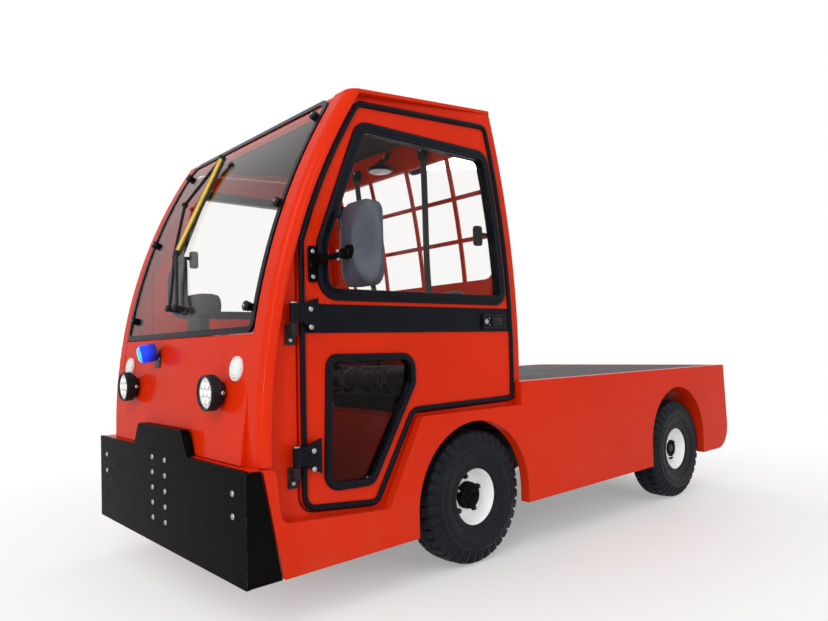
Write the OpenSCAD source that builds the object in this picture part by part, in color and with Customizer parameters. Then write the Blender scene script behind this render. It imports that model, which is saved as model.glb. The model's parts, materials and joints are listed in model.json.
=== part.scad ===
// Electric tow tractor: forward cab over the front axle, flat load deck behind; wheels, steering and doors move.
// Lengths are millimetres; x runs forward, y to the vehicle's left, z up; the ground is z = 0.

/* [Overall] */
// Width over the side panels
body_w = 1400; // [1380:5:1420]
// Distance between the axles
wheel_base = 1640; // [1600:5:1700]
// Front axle to the bumper's face
front_reach = 1036; // [1000:1:1080]
// Rear axle to the end of the tow jaw
rear_reach = 690; // [660:5:760]
// Length of the tow jaw behind the tail panel
jaw_reach = 98; // [80:1:140]
// Height of the load deck's top
deck_z = 720; // [715:1:726]

/* [Wheels] */
// Tyre outside radius
tyre_r = 270; // [262:1:274]
// Tyre section width
tyre_w = 160; // [150:1:164]
// Wheel centre from the middle of the vehicle
wheel_y = 604; // [598:1:608]
// Rim bead seat radius
bead_r = 116; // [114:1:120]
// King pin from the middle of the vehicle
king_pin_y = 470; // [466:1:474]
// Radius of the wheel spindles
spindle_r = 20; // [16:1:24]

/* [Cab] */
// Outer face of the doors from the middle
door_y = 665; // [660:1:670]
// Thickness of a door
door_t = 40; // [34:1:44]
// Gap between a door and its frame
door_gap = 8; // [6:1:10]
// Outer face of the front corner pillars from the middle
pillar_y = 690; // [684:1:694]
// Depth of a front corner pillar
pillar_depth = 40; // [34:1:42]
// Rounding of a pillar's outer corner
pillar_round = 34; // [24:1:34]
// Radius of the windscreen's curve
screen_r = 2268; // [2240:2:2300]
// Half width of the windscreen with its edge strip
screen_half_w = 592; // [580:1:596]
// Half width of the nose panel
cowl_half_w = 598; // [580:1:598]
// Radius of the curve of the cab's back
back_r = 3522; // [3460:2:3600]
// Front axle to the back of the cab at its fullest
back_reach = 314; // [306:1:318]
// Thickness of the rear wall
rear_wall_t = 30; // [24:1:36]
// Thickness of the roof panel
roof_t = 14; // [10:1:18]
// Width of the rubber strip round a door's upper window
seal_w = 40; // [30:1:46]
// Width of the rubber strip round a door's lower window
low_seal_w = 24; // [18:1:32]
// Width of the rubber strip round a door
door_seal_w = 20; // [16:1:26]
// Width of a bar of the rear window guard
bar_w = 20; // [12:1:26]

/* [Bumper] */
// Half width of the bumper
bumper_half_w = 698; // [680:1:700]
// Bumper lower edge
bumper_z0 = 158; // [150:1:170]
// Bumper upper edge
bumper_z1 = 517; // [505:1:520]
// Top of the bumper's raised middle
bumper_mid_z = 607; // [570:1:620]
// Bumper plate thickness
bumper_t = 12; // [8:1:14]

/* [Lamps] */
// Radius of the head lamps
lamp_r = 60; // [50:1:66]

/* [Deck] */
// Number of grooves along the deck
deck_grooves = 17; // [9:2:31]
// Depth of a deck groove
groove_depth = 3; // [1:0.5:5]

/* [Tow jaw] */
// Radius of the tow pin's bore
tow_bore_r = 16; // [12:0.5:20]
// Thickness of a jaw plate
jaw_t = 18; // [14:1:22]
// Clear height between the jaw plates
jaw_gap = 60; // [45:1:70]

/* [Hidden] */
$fn = 96;
shift_x = (wheel_base + rear_reach - front_reach) / 2;
side_y = body_w / 2;
side_t = 45;
side_in = side_y - side_t;
plate_back = pillar_depth + 0.6;
jamb_y = side_in;
jamb_t = 40;
jamb_in = jamb_y - jamb_t;
fit = 0.06;
seat_gap = 0.3;
rear_axle_x = -wheel_base;
axle_z = tyre_r;
tail_reach = rear_reach - jaw_reach;
// windscreen curve, seen from the side: it stands upright at height arc_z, behind the bumper's face
curve_back = 57;
arc_x = front_reach - curve_back - screen_r;
arc_z = 545;
screen_low_z = 944;
screen_high_z = 1800;
cab_high_z = 1910;
// the nose panel leaves the curve at its head and leans forward to the apron
cowl_lean = 7.74;
cowl_head_z = 940;
cowl_foot_z = 519.5;
cowl_t = 24;
apron_z = [165, 516];
floor_z = [316, 330];
// front of the dash
dash_x = aft(154);
// curve of the cab's back, seen from the side: it stands upright at height back_z
back_z = 855;
back_x0 = back_r - back_reach;
// rear window and the bars of its guard
rear_window = [[-560, 1180, 50], [560, 1180, 50], [560, 1750, 50], [-560, 1750, 50]];
guard_y = [-490, -205, 80, 365];
guard_z = [1374, 1570];
// roof: height of its upper face in front and behind, and where the panel begins and ends
roof_z = [1807, 1885];
roof_x = [curve_x(screen_r - plate_back, roof_z[0] - roof_t) + 1, back_x(back_r, roof_z[1]) - 1];
// hinge line of the left door
hinge_x = aft(186);
hinge_y = 690;
hinge_pin_r = 6;
hinge_z = [906, 440];
hinge_h = 62;
// curves of the door's front edge, its rear edge and the rear edge of its window
door_edge_r = screen_r - 53;
door_back_r = back_r - 55;
window_back_r = back_r - 86;

// a place behind the bumper's face, and one behind the rear axle
function aft(d) = front_reach - d;
function abaft(d) = rear_axle_x - d;
// the curve of the given radius at height z, and the angle at which the windscreen's own curve is there
function curve_x(r, z) = arc_x + sqrt(r * r - (z - arc_z) * (z - arc_z));
function curve_a(z) = asin((z - arc_z) / screen_r);
// the same for the cab's back
function back_x(r, z) = back_x0 - sqrt(r * r - (z - back_z) * (z - back_z));
function back_a(z) = asin((z - back_z) / back_r);
// height of the roof's upper face
function roof_at(x) = roof_z[0] + (x - roof_x[0]) * (roof_z[1] - roof_z[0]) / (roof_x[1] - roof_x[0]);

// outlines given as corners: x, z, rounding
door_corners = concat(
  [[503, 325, 40], [aft(217), 354, 55]],
  [for (z = [1248:113:1700]) [curve_x(door_edge_r, z), z, 0]],
  [[curve_x(door_edge_r, 1769), 1769, 50], [back_x(door_back_r, 1813), 1813, 40]],
  [for (z = [1690:-130:780]) [back_x(door_back_r, z), z, 0]],
  [[back_x(door_back_r, 646), 646, 12], [319, 638, 40]]);
window_corners = concat(
  [[back_x(window_back_r, 1050), 1050, 60], [aft(297), 1050, 80], [curve_x(door_edge_r, 1250) - 72, 1250, 60],
  [curve_x(door_edge_r, 1698) - 46, 1698, 70], [back_x(window_back_r, 1698), 1698, 70]],
  [for (z = [1540:-120:1180]) [back_x(window_back_r, z), z, 0]]);
low_window_corners = [[520, 397, 50], [aft(306), 403, 60], [aft(324), 866, 45], [310, 861, 60], [310, 745, 40]];
side_corners = [[abaft(tail_reach - 4), 222, 128], [rear_axle_x + 298, 214, 0], [-282, 200, 0], [343, 176, 0],
  [aft(128), 163, 8], [aft(60), 514, 10], [aft(106), 512, 28], [aft(122), 338, 40], [474, 308, 28],
  [306, 622, 28], [-268, 622, 0], [-268, deck_z + 2, 6], [abaft(tail_reach - 25), deck_z + 2, 6],
  [abaft(tail_reach), 378, 200]];
front_arch = [18, 262, 318];
rear_arch = [rear_axle_x + 13, 330, 288];

function spot(c) = [c[0], c[1]];
function unit(v) = v / norm(v);
function turned(v) = [-v[1], v[0]];
function meet(p, u, q, v) = p + u * (cross(q - p, v) / cross(u, v));
function arc_of(a, b, c, r) = r <= 0 ? [b] :
  let (u = unit(a - b), v = unit(c - b), half = acos(u * v) / 2,
    m = b + unit(u + v) * (r / sin(half)), p = b + u * (r / tan(half)) - m, q = b + v * (r / tan(half)) - m,
    s = atan2(p[1], p[0]), d = (atan2(q[1], q[0]) - s + 540) % 360 - 180, n = max(2, ceil(abs(d) / 11)))
  [for (k = [0:n]) m + r * [cos(s + d * k / n), sin(s + d * k / n)]];
function before(t, i) = spot(t[(i + len(t) - 1) % len(t)]);
function after(t, i) = spot(t[(i + 1) % len(t)]);
function outline(t) = [for (i = [0:len(t) - 1]) each arc_of(before(t, i), spot(t[i]), after(t, i), t[i][2])];
function inset(t, d) = [for (i = [0:len(t) - 1])
  let (a = before(t, i), b = spot(t[i]), c = after(t, i), bulge = cross(b - a, c - b),
    p = meet(a + turned(unit(b - a)) * d, b - a, b + turned(unit(c - b)) * d, c - b))
  [p[0], p[1], t[i][2] <= 0 ? 0 : max(1, t[i][2] + (bulge > 0 ? -d : d))]];

// a flat outline in the side view, made solid from y0 to y1
module slab(y0, y1) { translate([0, y1, 0]) rotate([90, 0, 0]) linear_extrude(y1 - y0) children(); }
// a flat outline in the front view (y, z), made solid from x0 to x1
module board(x0, x1) { translate([x0, 0, 0]) rotate([90, 0, 90]) linear_extrude(x1 - x0) children(); }
module box(x0, x1, y0, y1, z0, z1) { translate([x0, y0, z0]) cube([x1 - x0, y1 - y0, z1 - z0]); }
module rod(p, q, r) {
  d = q - p;
  translate(p) rotate([0, acos(d[2] / norm(d)), atan2(d[1], d[0])]) cylinder(h = norm(d), r = r);
}
module across(r, y0, y1) { translate([0, y1, 0]) rotate([90, 0, 0]) cylinder(h = y1 - y0, r = r); }
module both_sides() { children(); mirror([0, 1, 0]) children(); }
module placed() { translate([shift_x, 0, 0]) children(); }
// the windscreen's curve: children are a section (radius, y)
module swept(a0, a1) {
  translate([arc_x, 0, arc_z]) rotate([90, 0, 0]) rotate([0, 0, a0])
    rotate_extrude(angle = a1 - a0, $fn = 256) children();
}
// a place on the nose panel's face, x pointing straight out of it
function cowl_x(z) = curve_x(screen_r, cowl_head_z) + (cowl_head_z - z) * tan(cowl_lean);
module on_cowl(y, z) { translate([cowl_x(z), y, z]) rotate([0, -cowl_lean, 0]) children(); }
// the curve of the cab's back between two heights: children are a section (radius, y)
module swept_back(z0, z1) {
  translate([back_x0, 0, back_z]) rotate([90, 0, 0]) rotate([0, 0, 180 - back_a(z1)])
    rotate_extrude(angle = back_a(z1) - back_a(z0), $fn = 256) children();
}
module on_back(y, z) { translate([back_x(back_r, z), y, z]) rotate([0, back_a(z), 0]) children(); }
// the space taken by the roof panel and everything above it
module above_roof() {
  ends = [roof_x[0] + 200, roof_x[1] - 300];
  slab(-side_y, side_y) polygon([[roof_x[0], roof_at(roof_x[0]) - roof_t], [roof_x[0], roof_at(roof_x[0])],
    [ends[0], roof_at(ends[0])], [ends[0], 2300], [ends[1], 2300], [ends[1], roof_at(ends[1]) - roof_t]]);
}

// Chassis
rail_end = abaft(tail_reach - 52);
rail_side = [[aft(32), 225], [aft(32), floor_z[0]], [432, floor_z[0]], [362, 500], [rail_end, 500],
  [rail_end, 400], [330, 400], [398, 225]];
cross_x = [-330, rear_axle_x + 340, abaft(tail_reach - 112)];
module frame_rails() color("dimgray") {
  both_sides() slab(270, 330) polygon(rail_side);
  box(aft(106), aft(56), -270, 270, 235, 305);
  box(250, 310, -270, 270, 410, 490);
  for (x = cross_x) {
    box(x - 30, x + 30, -270, 270, 410, 490);
    both_sides() box(x - 30, x + 30, 330, side_in, 420, 490);
    box(x - 12, x + 12, -640, 640, 500, 700);
  }
}
floor_end = back_x(back_r - rear_wall_t, 626) + 2;
module cab_floor() color("dimgray") slab(-jamb_in, jamb_in)
  polygon([[aft(76), floor_z[0]], [aft(76), floor_z[1]], [496, floor_z[1]], [340, 614], [340, 626], [floor_end, 626],
    [floor_end, 612], [331, 612], [488, floor_z[0]]]);
module battery_block() color("slategray") box(rear_axle_x + 370, -430, -420, 420, 500, 690);
module spring(x, z) {
  both_sides() translate([x, 0, 0]) {
    slab(272, 328) difference() {
      translate([0, z + 1100]) circle(r = 1100, $fn = 256);
      translate([0, z + 1100]) circle(r = 1072, $fn = 256);
      translate([-1200, z + 50]) square([2400, 2500]);
    }
    for (s = [-1, 1]) box(s * 304 - 22, s * 304 + 22, 276, 324, z + 38, 400);
  }
}
module leaf_springs() color("dimgray") {
  spring(0, 300);
  spring(rear_axle_x, 322);
}
module front_axle() color("dimgray") {
  difference() {
    box(-35, 35, -430, 430, 236, 300);
    both_sides() box(-40, 40, 150, 250, 230, 250);
  }
  both_sides() {
    box(-35, 35, 402, 428, 179, 361);
    for (z = [179, 341]) {
      box(-35, 35, 402, king_pin_y, z, z + 20);
      translate([0, king_pin_y, z]) cylinder(h = 20, r = 35);
    }
    translate([0, king_pin_y, 179]) cylinder(h = 182, r = 14);
  }
}
module rear_axle() color("dimgray") translate([rear_axle_x, 0, axle_z]) {
  across(44, -500, 500);
  sphere(r = 118);
  translate([60, 0, 20]) rotate([0, 90, 0]) cylinder(h = 420, r = 108);
  both_sides() {
    across(92, 500, 586);
    across(spindle_r, 586, wheel_y + 38);
    box(-40, 40, 268, 332, 20, 52);
  }
}

// Bodywork
module arch_cut(a) {
  translate([a[0], a[1]]) circle(r = a[2]);
  translate([a[0] - a[2], a[1] - 400]) square([2 * a[2], 400]);
}
module side_skin() {
  slab(side_in, side_y) difference() {
    polygon(outline(side_corners));
    arch_cut(front_arch);
    arch_cut(rear_arch);
  }
  // arch lining behind the rear wheel opening
  slab(470, side_in) difference() {
    translate([rear_arch[0], rear_arch[1]]) circle(r = rear_arch[2] + 7);
    translate([rear_arch[0], rear_arch[1]]) circle(r = rear_arch[2]);
    translate([rear_arch[0] - 400, rear_arch[1] - 400]) square([800, 400]);
  }
}
module side_panel_left() color("orangered") side_skin();
module side_panel_right() color("orangered") mirror([0, 1, 0]) side_skin();
module front_apron() color("orangered") difference() {
  union() {
    box(aft(76), front_reach - bumper_t, -side_in, side_in, apron_z[0], apron_z[1]);
    box(aft(57), front_reach - bumper_t, -686, 686, apron_z[0], apron_z[1]);
  }
  box(aft(86), aft(32), -636, 636, apron_z[0] - 5, apron_z[1] - 18);
}
// nose panel with the ledge behind its head
module front_cowl() color("orangered") {
  on_cowl(0, cowl_foot_z)
    box(-cowl_t, 0, -cowl_half_w, cowl_half_w, 0, (cowl_head_z - cowl_foot_z) / cos(cowl_lean));
  slab(4 - cowl_half_w, cowl_half_w - 4)
    polygon([[dash_x, 905], [cowl_x(905) - 18, 905], [cowl_x(930) - 18, 930], [dash_x, 948]]);
}
module pillar_section(y_in) {
  d = pillar_depth;
  translate([-d, y_in]) square([d, pillar_y - pillar_round - y_in]);
  translate([-d, y_in]) square([d - pillar_round, pillar_y - y_in]);
  intersection() {
    translate([-pillar_round, pillar_y - pillar_round]) circle(r = pillar_round);
    translate([-pillar_round, pillar_y - pillar_round]) square(pillar_round);
  }
}
module cab_frame() color("orangered") difference() {
  both_sides() slab(jamb_in, jamb_y) difference() {
    polygon(concat([[478, 300], [aft(76.5), 300], [aft(76.5), apron_z[1] - 2],
      [arc_x + screen_r - plate_back, apron_z[1] - 2]],
      [for (z = [arc_z:53:1870]) [curve_x(screen_r - plate_back, z), z]],
      [for (z = [cab_high_z:-65.5:600]) [back_x(back_r, z) + 0.5, z]], [[306, 600]]));
    polygon(outline(inset(door_corners, -door_gap)));
  }
  above_roof();
}
// corner pillars that follow the curve from the apron to the roof, joined over the windscreen
module windscreen_frame() color("orangered") difference() {
  union() {
    both_sides() mirror([0, 1, 0]) swept(curve_a(apron_z[1] + 0.2), curve_a(cab_high_z))
      translate([screen_r, 0]) pillar_section(cowl_half_w + seat_gap);
    swept(curve_a(1760), curve_a(cab_high_z)) translate([screen_r - 30, -620]) square([22 - seat_gap, 1240]);
  }
  above_roof();
}
// narrower at the back, where it meets the rear wall
module roof_panel() color("orangered") intersection() {
  ends = [roof_x[0] - seat_gap, roof_x[1] - 4];
  slab(-pillar_y, pillar_y) polygon([[ends[0], roof_at(ends[0]) - roof_t + seat_gap], [ends[0], roof_at(ends[0])],
    [roof_x[1], roof_z[1]], [ends[1], roof_at(ends[1]) - roof_t + seat_gap]]);
  linear_extrude(2 * cab_high_z) polygon([[roof_x[0], -pillar_y], [roof_x[0], pillar_y], [roof_x[1] - 40, jamb_y],
    [roof_x[1] - 40, -jamb_y]]);
}
module rear_wall() color("orangered") difference() {
  swept_back(600, cab_high_z) translate([back_r - rear_wall_t, -jamb_in]) square([rear_wall_t, 2 * jamb_in]);
  board(-600, 0) polygon(outline(rear_window));
  above_roof();
}
module window_guard() color("orangered") intersection() {
  union() {
    for (y = guard_y) swept_back(1150, 1790) translate([back_r - 14, -y - bar_w / 2]) square([10, bar_w]);
    for (z = guard_z) swept_back(z - bar_w / 2, z + bar_w / 2) translate([back_r - 13, -600]) square([8, 1200]);
  }
  board(-600, 0) polygon(outline(rear_window));
}
module screen_outline(d) {
  polygon(outline(inset([[-screen_half_w, screen_low_z, 40], [screen_half_w, screen_low_z, 40],
    [screen_half_w, screen_high_z, 70], [-screen_half_w, screen_high_z, 70]], d)));
}
module cab_glass() color("lightblue") {
  intersection() {
    swept(curve_a(screen_low_z - 40), curve_a(screen_high_z + 46)) translate([screen_r - 6, -600]) square([6, 1200]);
    board(300, 1100) screen_outline(22);
  }
  intersection() {
    swept_back(1150, 1790) translate([back_r - 24, -600]) square([6, 1200]);
    board(-600, 0) polygon(outline(rear_window));
  }
}
module windscreen_trim() color("black") {
  intersection() {
    swept(curve_a(screen_low_z - 40), curve_a(screen_high_z + 46)) translate([screen_r - 8, -600]) square([12, 1200]);
    board(300, 1100) difference() {
      screen_outline(0);
      screen_outline(22);
    }
  }
  for (s = [[537, 1032], [558, 1389], [545, 1724]])
    both_sides() translate([arc_x, s[0], arc_z]) rotate([0, -curve_a(s[1]), 0]) {
      translate([screen_r + 0.2, 0, 0]) rotate([0, 90, 0]) cylinder(h = 14, r = 16);
      translate([screen_r - 34.2, 0, 0]) rotate([0, 90, 0]) cylinder(h = 28, r = 14);
    }
}
function on_screen(y, z, lift) = let (a = curve_a(z))
  [arc_x + (screen_r + lift) * cos(a), y, arc_z + (screen_r + lift) * sin(a)];
// twin arms up to a yoke, a sleeved rod on from there and the blade bowed out beside it
wiper_yoke = [-186, 1283];
wiper_head = [-166, 1727];
wiper_bow = [-345, 1540];
module wiper() color("black") {
  for (y = [-88, -15]) {
    rod(on_screen(y, 1056, 0.2), on_screen(y, 1056, 34), 11);
    rod(on_screen(y, 1056, 28), on_screen(wiper_yoke[0] + (y + 52) / 4, wiper_yoke[1], 26), 5);
  }
  rod(on_screen(wiper_yoke[0] - 20, wiper_yoke[1], 26), on_screen(wiper_yoke[0] + 16, wiper_yoke[1], 26), 8);
  rod(on_screen(wiper_yoke[0], wiper_yoke[1], 26), on_screen(wiper_head[0], wiper_head[1], 26), 10);
  rod(on_screen(wiper_yoke[0] - 16, wiper_yoke[1] + 2, 26), on_screen(wiper_bow[0], wiper_bow[1], 20), 4);
  rod(on_screen(wiper_bow[0], wiper_bow[1], 20), on_screen(wiper_head[0] - 4, wiper_head[1] - 6, 25), 4.5);
  rod(on_screen(wiper_bow[0], wiper_bow[1], 8), on_screen(wiper_bow[0], wiper_bow[1], 32), 10);
}

// Inside the cab
module dashboard() color("dimgray") {
  slab(-jamb_in, jamb_in) polygon([[dash_x - seat_gap, 790], [dash_x - seat_gap, 950], [aft(236), 968],
    [aft(294), 940], [aft(294), 870], [aft(236), 800]]);
  board(aft(246), aft(156)) polygon(outline([[-240, 960, 0], [145, 960, 0], [132, 1121, 60], [-226, 1121, 60]]));
}
column_foot = [aft(246), 300, floor_z[1]];
column_head = [aft(488), 300, 974];
module driver_controls() color("dimgray") difference() {
  union() {
    rod(column_foot, column_head - unit(column_head - column_foot) * 60, 30);
    rod(column_foot, column_head, 11);
    translate(column_foot) cylinder(h = 12, r = 52);
    for (p = [[120, 60], [210, 70]]) translate([aft(236), p[0], floor_z[1]]) rotate([0, -25, 0]) {
      box(-6, 6, -8, 8, -10, 150);
      box(-14, -6, -p[1] / 2, p[1] / 2, 70, 170);
    }
  }
  box(aft(400), aft(100), 0, 400, floor_z[1] - 60, floor_z[1]);
}
module seat_base() color("dimgray") both_sides() {
  box(-210, 270, 70, 550, 626, 690);
  box(-150, -106, 120, 500, 690, 780.5 - seat_gap);
}
module seats() color("midnightblue") both_sides() {
  slab(70, 550) polygon(outline([[-100, 690.5, 12], [292, 690.5, 30], [300, 800, 40], [-100, 777, 20]]));
  slab(80, 540) polygon(outline([[-150, 780.5, 10], [-62, 780.5, 20], [-100, 1148, 36], [-186, 1148, 36]]));
}

// Front fittings
module front_bumper() color("black") {
  board(front_reach - bumper_t, front_reach)
    polygon(outline([[-bumper_half_w, bumper_z0, 8], [bumper_half_w, bumper_z0, 8], [bumper_half_w, bumper_z1, 8],
      [262, bumper_z1, 30], [212, bumper_mid_z, 24], [-212, bumper_mid_z, 24], [-262, bumper_z1, 30],
      [-bumper_half_w, bumper_z1, 8]]));
  board(aft(33), front_reach - bumper_t)
    polygon(outline([[-262, bumper_z1 + 1, 0], [262, bumper_z1 + 1, 0], [212, bumper_mid_z, 24],
      [-212, bumper_mid_z, 24]]));
  both_sides() slab(688, bumper_half_w)
    polygon([[front_reach - 8, bumper_z1 - 4], [aft(54), bumper_z1 - 6], [aft(122), bumper_z0 + 6],
      [front_reach - 8, bumper_z0 + 4]]);
}
// lamp with a tapering back and a sunk lens, facing along x
module round_lamp() rotate([0, 90, 0]) difference() {
  union() {
    cylinder(h = 16, r1 = 46, r2 = lamp_r);
    translate([0, 0, 16]) cylinder(h = 34, r = lamp_r);
  }
  translate([0, 0, 46]) cylinder(h = 10, r = lamp_r - 5);
}
module work_lamps() color("black") {
  for (y = [-407, 407]) {
    on_cowl(y, 746) rotate([0, 90, 0]) cylinder(h = 24, r = 36);
    translate([cowl_x(746) + 9, y, 746]) round_lamp();
  }
  on_back(100, 1790) rotate([0, 0, 180]) {
    translate([0.2, 0, 0]) rotate([0, 90, 0]) cylinder(h = 10, r = 36);
    translate([9, 0, 0]) round_lamp();
  }
}
module marker_lamps() color("white") for (y = [-509, 509])
  on_cowl(y, 826) rotate([0, 90, 0]) {
    cylinder(h = 8, r = 42);
    translate([0, 0, 8]) cylinder(h = 10, r1 = 36, r2 = 24);
  }
module blue_spotlight() color("navy") {
  on_cowl(-190, 846) box(0, 5, -25, 25, -20, 30);
  on_cowl(-190, 874) box(0, 26, -6, 6, -16, 4);
  rod([aft(70), -186, 893], [aft(14), -201, 881], 36);
}
module tail_lamps() color("darkred") for (y = [-560, 560])
  translate([tail_x(600), y, 600]) rotate([0, tail_lean, 0]) box(-24, 0, -70, 70, -36, 36);

// Load deck and tail
deck_x = [abaft(tail_reach - 47), back_x(back_r, deck_z) - 5];
module deck() color("gray") difference() {
  box(deck_x[0], deck_x[1], -side_in, side_in, deck_z - 20, deck_z);
  for (i = [0:deck_grooves - 1])
    translate([deck_x[0] + 15, (i - (deck_grooves - 1) / 2) * 74 - 4, deck_z - groove_depth])
      cube([deck_x[1] - deck_x[0] - 31, 8, 10]);
}
function tail_corners(t, top) = [[abaft(tail_reach - 4), 222, 128], [abaft(tail_reach - 232 - t), 222, 0],
  [abaft(tail_reach - 232 - t), top, 0], [abaft(tail_reach - 25), top, t > 0 ? 0 : 6], [abaft(tail_reach), 378, 200]];
module rear_panel() color("orangered") slab(-side_in, side_in) difference() {
  polygon(outline(tail_corners(0, deck_z + 2)));
  translate([22, 22]) polygon(outline(tail_corners(100, deck_z + 80)));
  translate([abaft(tail_reach - 132), 0]) square([400, 1000]);
}
jaw_z = 470;
jaw_r = 50;
tail_lean = atan(25 / (deck_z + 2 - 378));
function tail_x(z) = abaft(tail_reach - 25) - (deck_z + 2 - z) * tan(tail_lean);
module tow_hitch() color("dimgray") {
  slab(-95, 95) polygon([[tail_x(420) - 0.3, 420], [tail_x(540) - 0.3, 540], [abaft(tail_reach + 14), 540],
    [abaft(tail_reach + 14), 420]]);
  for (s = [-1, 1]) translate([abaft(rear_reach - jaw_r), 0, jaw_z + s * (jaw_gap + jaw_t) / 2 - jaw_t / 2])
    difference() {
      union() {
        box(0, jaw_reach - jaw_r - 8, -jaw_r, jaw_r, 0, jaw_t);
        cylinder(h = jaw_t, r = jaw_r);
      }
      translate([0, 0, -1]) cylinder(h = jaw_t + 2, r = tow_bore_r);
    }
}

// Doors
// fixed halves of the hinges: a tab that is bolted to the jamb below the web, the barrel and its pin
module hinge_brackets() color("black") both_sides() for (z = hinge_z) translate([hinge_x, 0, z]) {
  box(-22, 14, jamb_y, jamb_y + 8, -6, hinge_h);
  box(-11, 11, jamb_y, hinge_y, 26, hinge_h);
  translate([0, hinge_y, 26]) cylinder(h = hinge_h - 26, r = 12);
  translate([0, hinge_y, 26]) cylinder(h = 2 * hinge_h - 22, r = hinge_pin_r);
}
module door_skin() slab(door_y - door_t, door_y) difference() {
  polygon(outline(door_corners));
  polygon(outline(window_corners));
  polygon(outline(low_window_corners));
}
door_windows = [[window_corners, seal_w], [low_window_corners, low_seal_w]];
module door_panes() for (w = door_windows) slab(door_y - 18, door_y - 12) polygon(outline(inset(w[0], w[1])));
module door_rubber() {
  for (w = door_windows) slab(door_y - 30, door_y + 6) difference() {
    polygon(outline(w[0]));
    polygon(outline(inset(w[0], w[1])));
  }
  slab(door_y, door_y + 6) difference() {
    polygon(outline(door_corners));
    polygon(outline(inset(door_corners, door_seal_w)));
  }
  // dark band with the handle
  slab(door_y, door_y + 3) intersection() {
    translate([-400, 938]) square([1400, 98]);
    polygon(outline(inset(door_corners, door_seal_w - 1)));
  }
  box(-202, -67, door_y + 2, door_y + 12, 948, 1012);
  // door halves of the hinges
  for (z = hinge_z) translate([hinge_x, 0, z + hinge_h + 5]) difference() {
    union() {
      slab(hinge_y - 8, hinge_y + 4)
        polygon([[0, 0], [0, hinge_h], [-34, hinge_h], [-96, 82], [-96, -34], [-34, 0]]);
      box(-90, -54, door_y, hinge_y - 4, -14, 62);
      translate([0, hinge_y, 0]) cylinder(h = hinge_h, r = 12);
    }
    translate([0, hinge_y, -1]) cylinder(h = hinge_h + 8, r = hinge_pin_r + fit);
  }
}
module mirror_arm() {
  box(aft(294), aft(260), door_y, door_y + 8, 1108, 1232);
  rod([aft(276), door_y + 6, 1170], [aft(276), 735, 1180], 9);
  translate([aft(276), 735, 1164]) cylinder(h = 32, r = 13);
  rod([aft(276), 735, 1180], [aft(376), 772, 1206], 9);
  // domed housing, open side facing back
  intersection() {
    board(aft(426), aft(356)) polygon(outline([[690, 1091, 42], [870, 1091, 42], [870, 1381, 42], [690, 1381, 42]]));
    translate([aft(364) - 300, 780, 1236]) rotate([0, 0, 180]) sphere(r = 300);
  }
}
module door_left() color("orangered") door_skin();
module door_left_glass() color("lightblue") door_panes();
module door_left_trim() color("black") door_rubber();
module mirror_left() color("black") mirror_arm();
module door_right() color("orangered") mirror([0, 1, 0]) door_skin();
module door_right_glass() color("lightblue") mirror([0, 1, 0]) door_panes();
module door_right_trim() color("black") mirror([0, 1, 0]) door_rubber();
module mirror_right() color("black") mirror([0, 1, 0]) mirror_arm();

// Wheels and steering
tyre_half = [[bead_r, 52], [bead_r + 26, 66], [bead_r + 70, tyre_w / 2], [tyre_r - 50, tyre_w / 2 - 4],
  [tyre_r - 18, tyre_w / 2 - 16], [tyre_r, tyre_w / 2 - 34]];
function flipped(t) = [for (i = [len(t) - 1:-1:0]) [t[i][0], -t[i][1]]];
module tyre() rotate([90, 0, 0]) rotate_extrude() polygon(concat(tyre_half, flipped(tyre_half)));
// section of the rim: radius, distance outboard
module rim() rotate([-90, 0, 0]) difference() {
  rotate_extrude() polygon([[spindle_r + fit, -8], [58, -8], [58, 16], [96, 22], [104, 30], [104, -60],
    [118, -66], [126, -66], [126, -61], [bead_r - 0.3, -53], [bead_r - 0.3, 53], [126, 61], [126, 66], [118, 66],
    [106, 56], [97, 34], [62, 28], [52, 52], [0, 56], [0, 44], [spindle_r + fit, 44]]);
}
module wheel_at(x, y) { translate([x, y, axle_z]) children(); }
module knuckle() difference() {
  union() {
    translate([0, king_pin_y, 205]) cylinder(h = 130, r = 32);
    translate([0, 0, axle_z]) {
      across(38, king_pin_y, 530);
      across(92, 528, 588);
      across(spindle_r, 588, wheel_y + 38);
    }
  }
  translate([0, king_pin_y, 200]) cylinder(h = 140, r = 14 + fit);
}
module knuckle_left() color("dimgray") knuckle();
module knuckle_right() color("dimgray") mirror([0, 1, 0]) knuckle();
module tyre_fl() color("black") wheel_at(0, wheel_y) tyre();
module tyre_fr() color("black") wheel_at(0, -wheel_y) tyre();
module tyre_rl() color("black") wheel_at(rear_axle_x, wheel_y) tyre();
module tyre_rr() color("black") wheel_at(rear_axle_x, -wheel_y) tyre();
module rim_fl() color("white") wheel_at(0, wheel_y) rim();
module rim_fr() color("white") wheel_at(0, -wheel_y) mirror([0, 1, 0]) rim();
module rim_rl() color("white") wheel_at(rear_axle_x, wheel_y) rim();
module rim_rr() color("white") wheel_at(rear_axle_x, -wheel_y) mirror([0, 1, 0]) rim();
column_dir = column_head - column_foot;
module steering_wheel() color("black") translate(column_head)
  rotate([0, acos(column_dir[2] / norm(column_dir)), 180]) {
    difference() {
      union() {
        rotate_extrude() translate([178, 4]) circle(r = 14);
        translate([0, 0, -28]) cylinder(h = 40, r = 34);
        for (a = [0, 120, 240]) rotate([0, 0, a]) box(20, 172, -14, 14, -6, 6);
      }
      translate([0, 0, -40]) cylinder(h = 42, r = 11 + fit);
    }
  }

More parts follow.
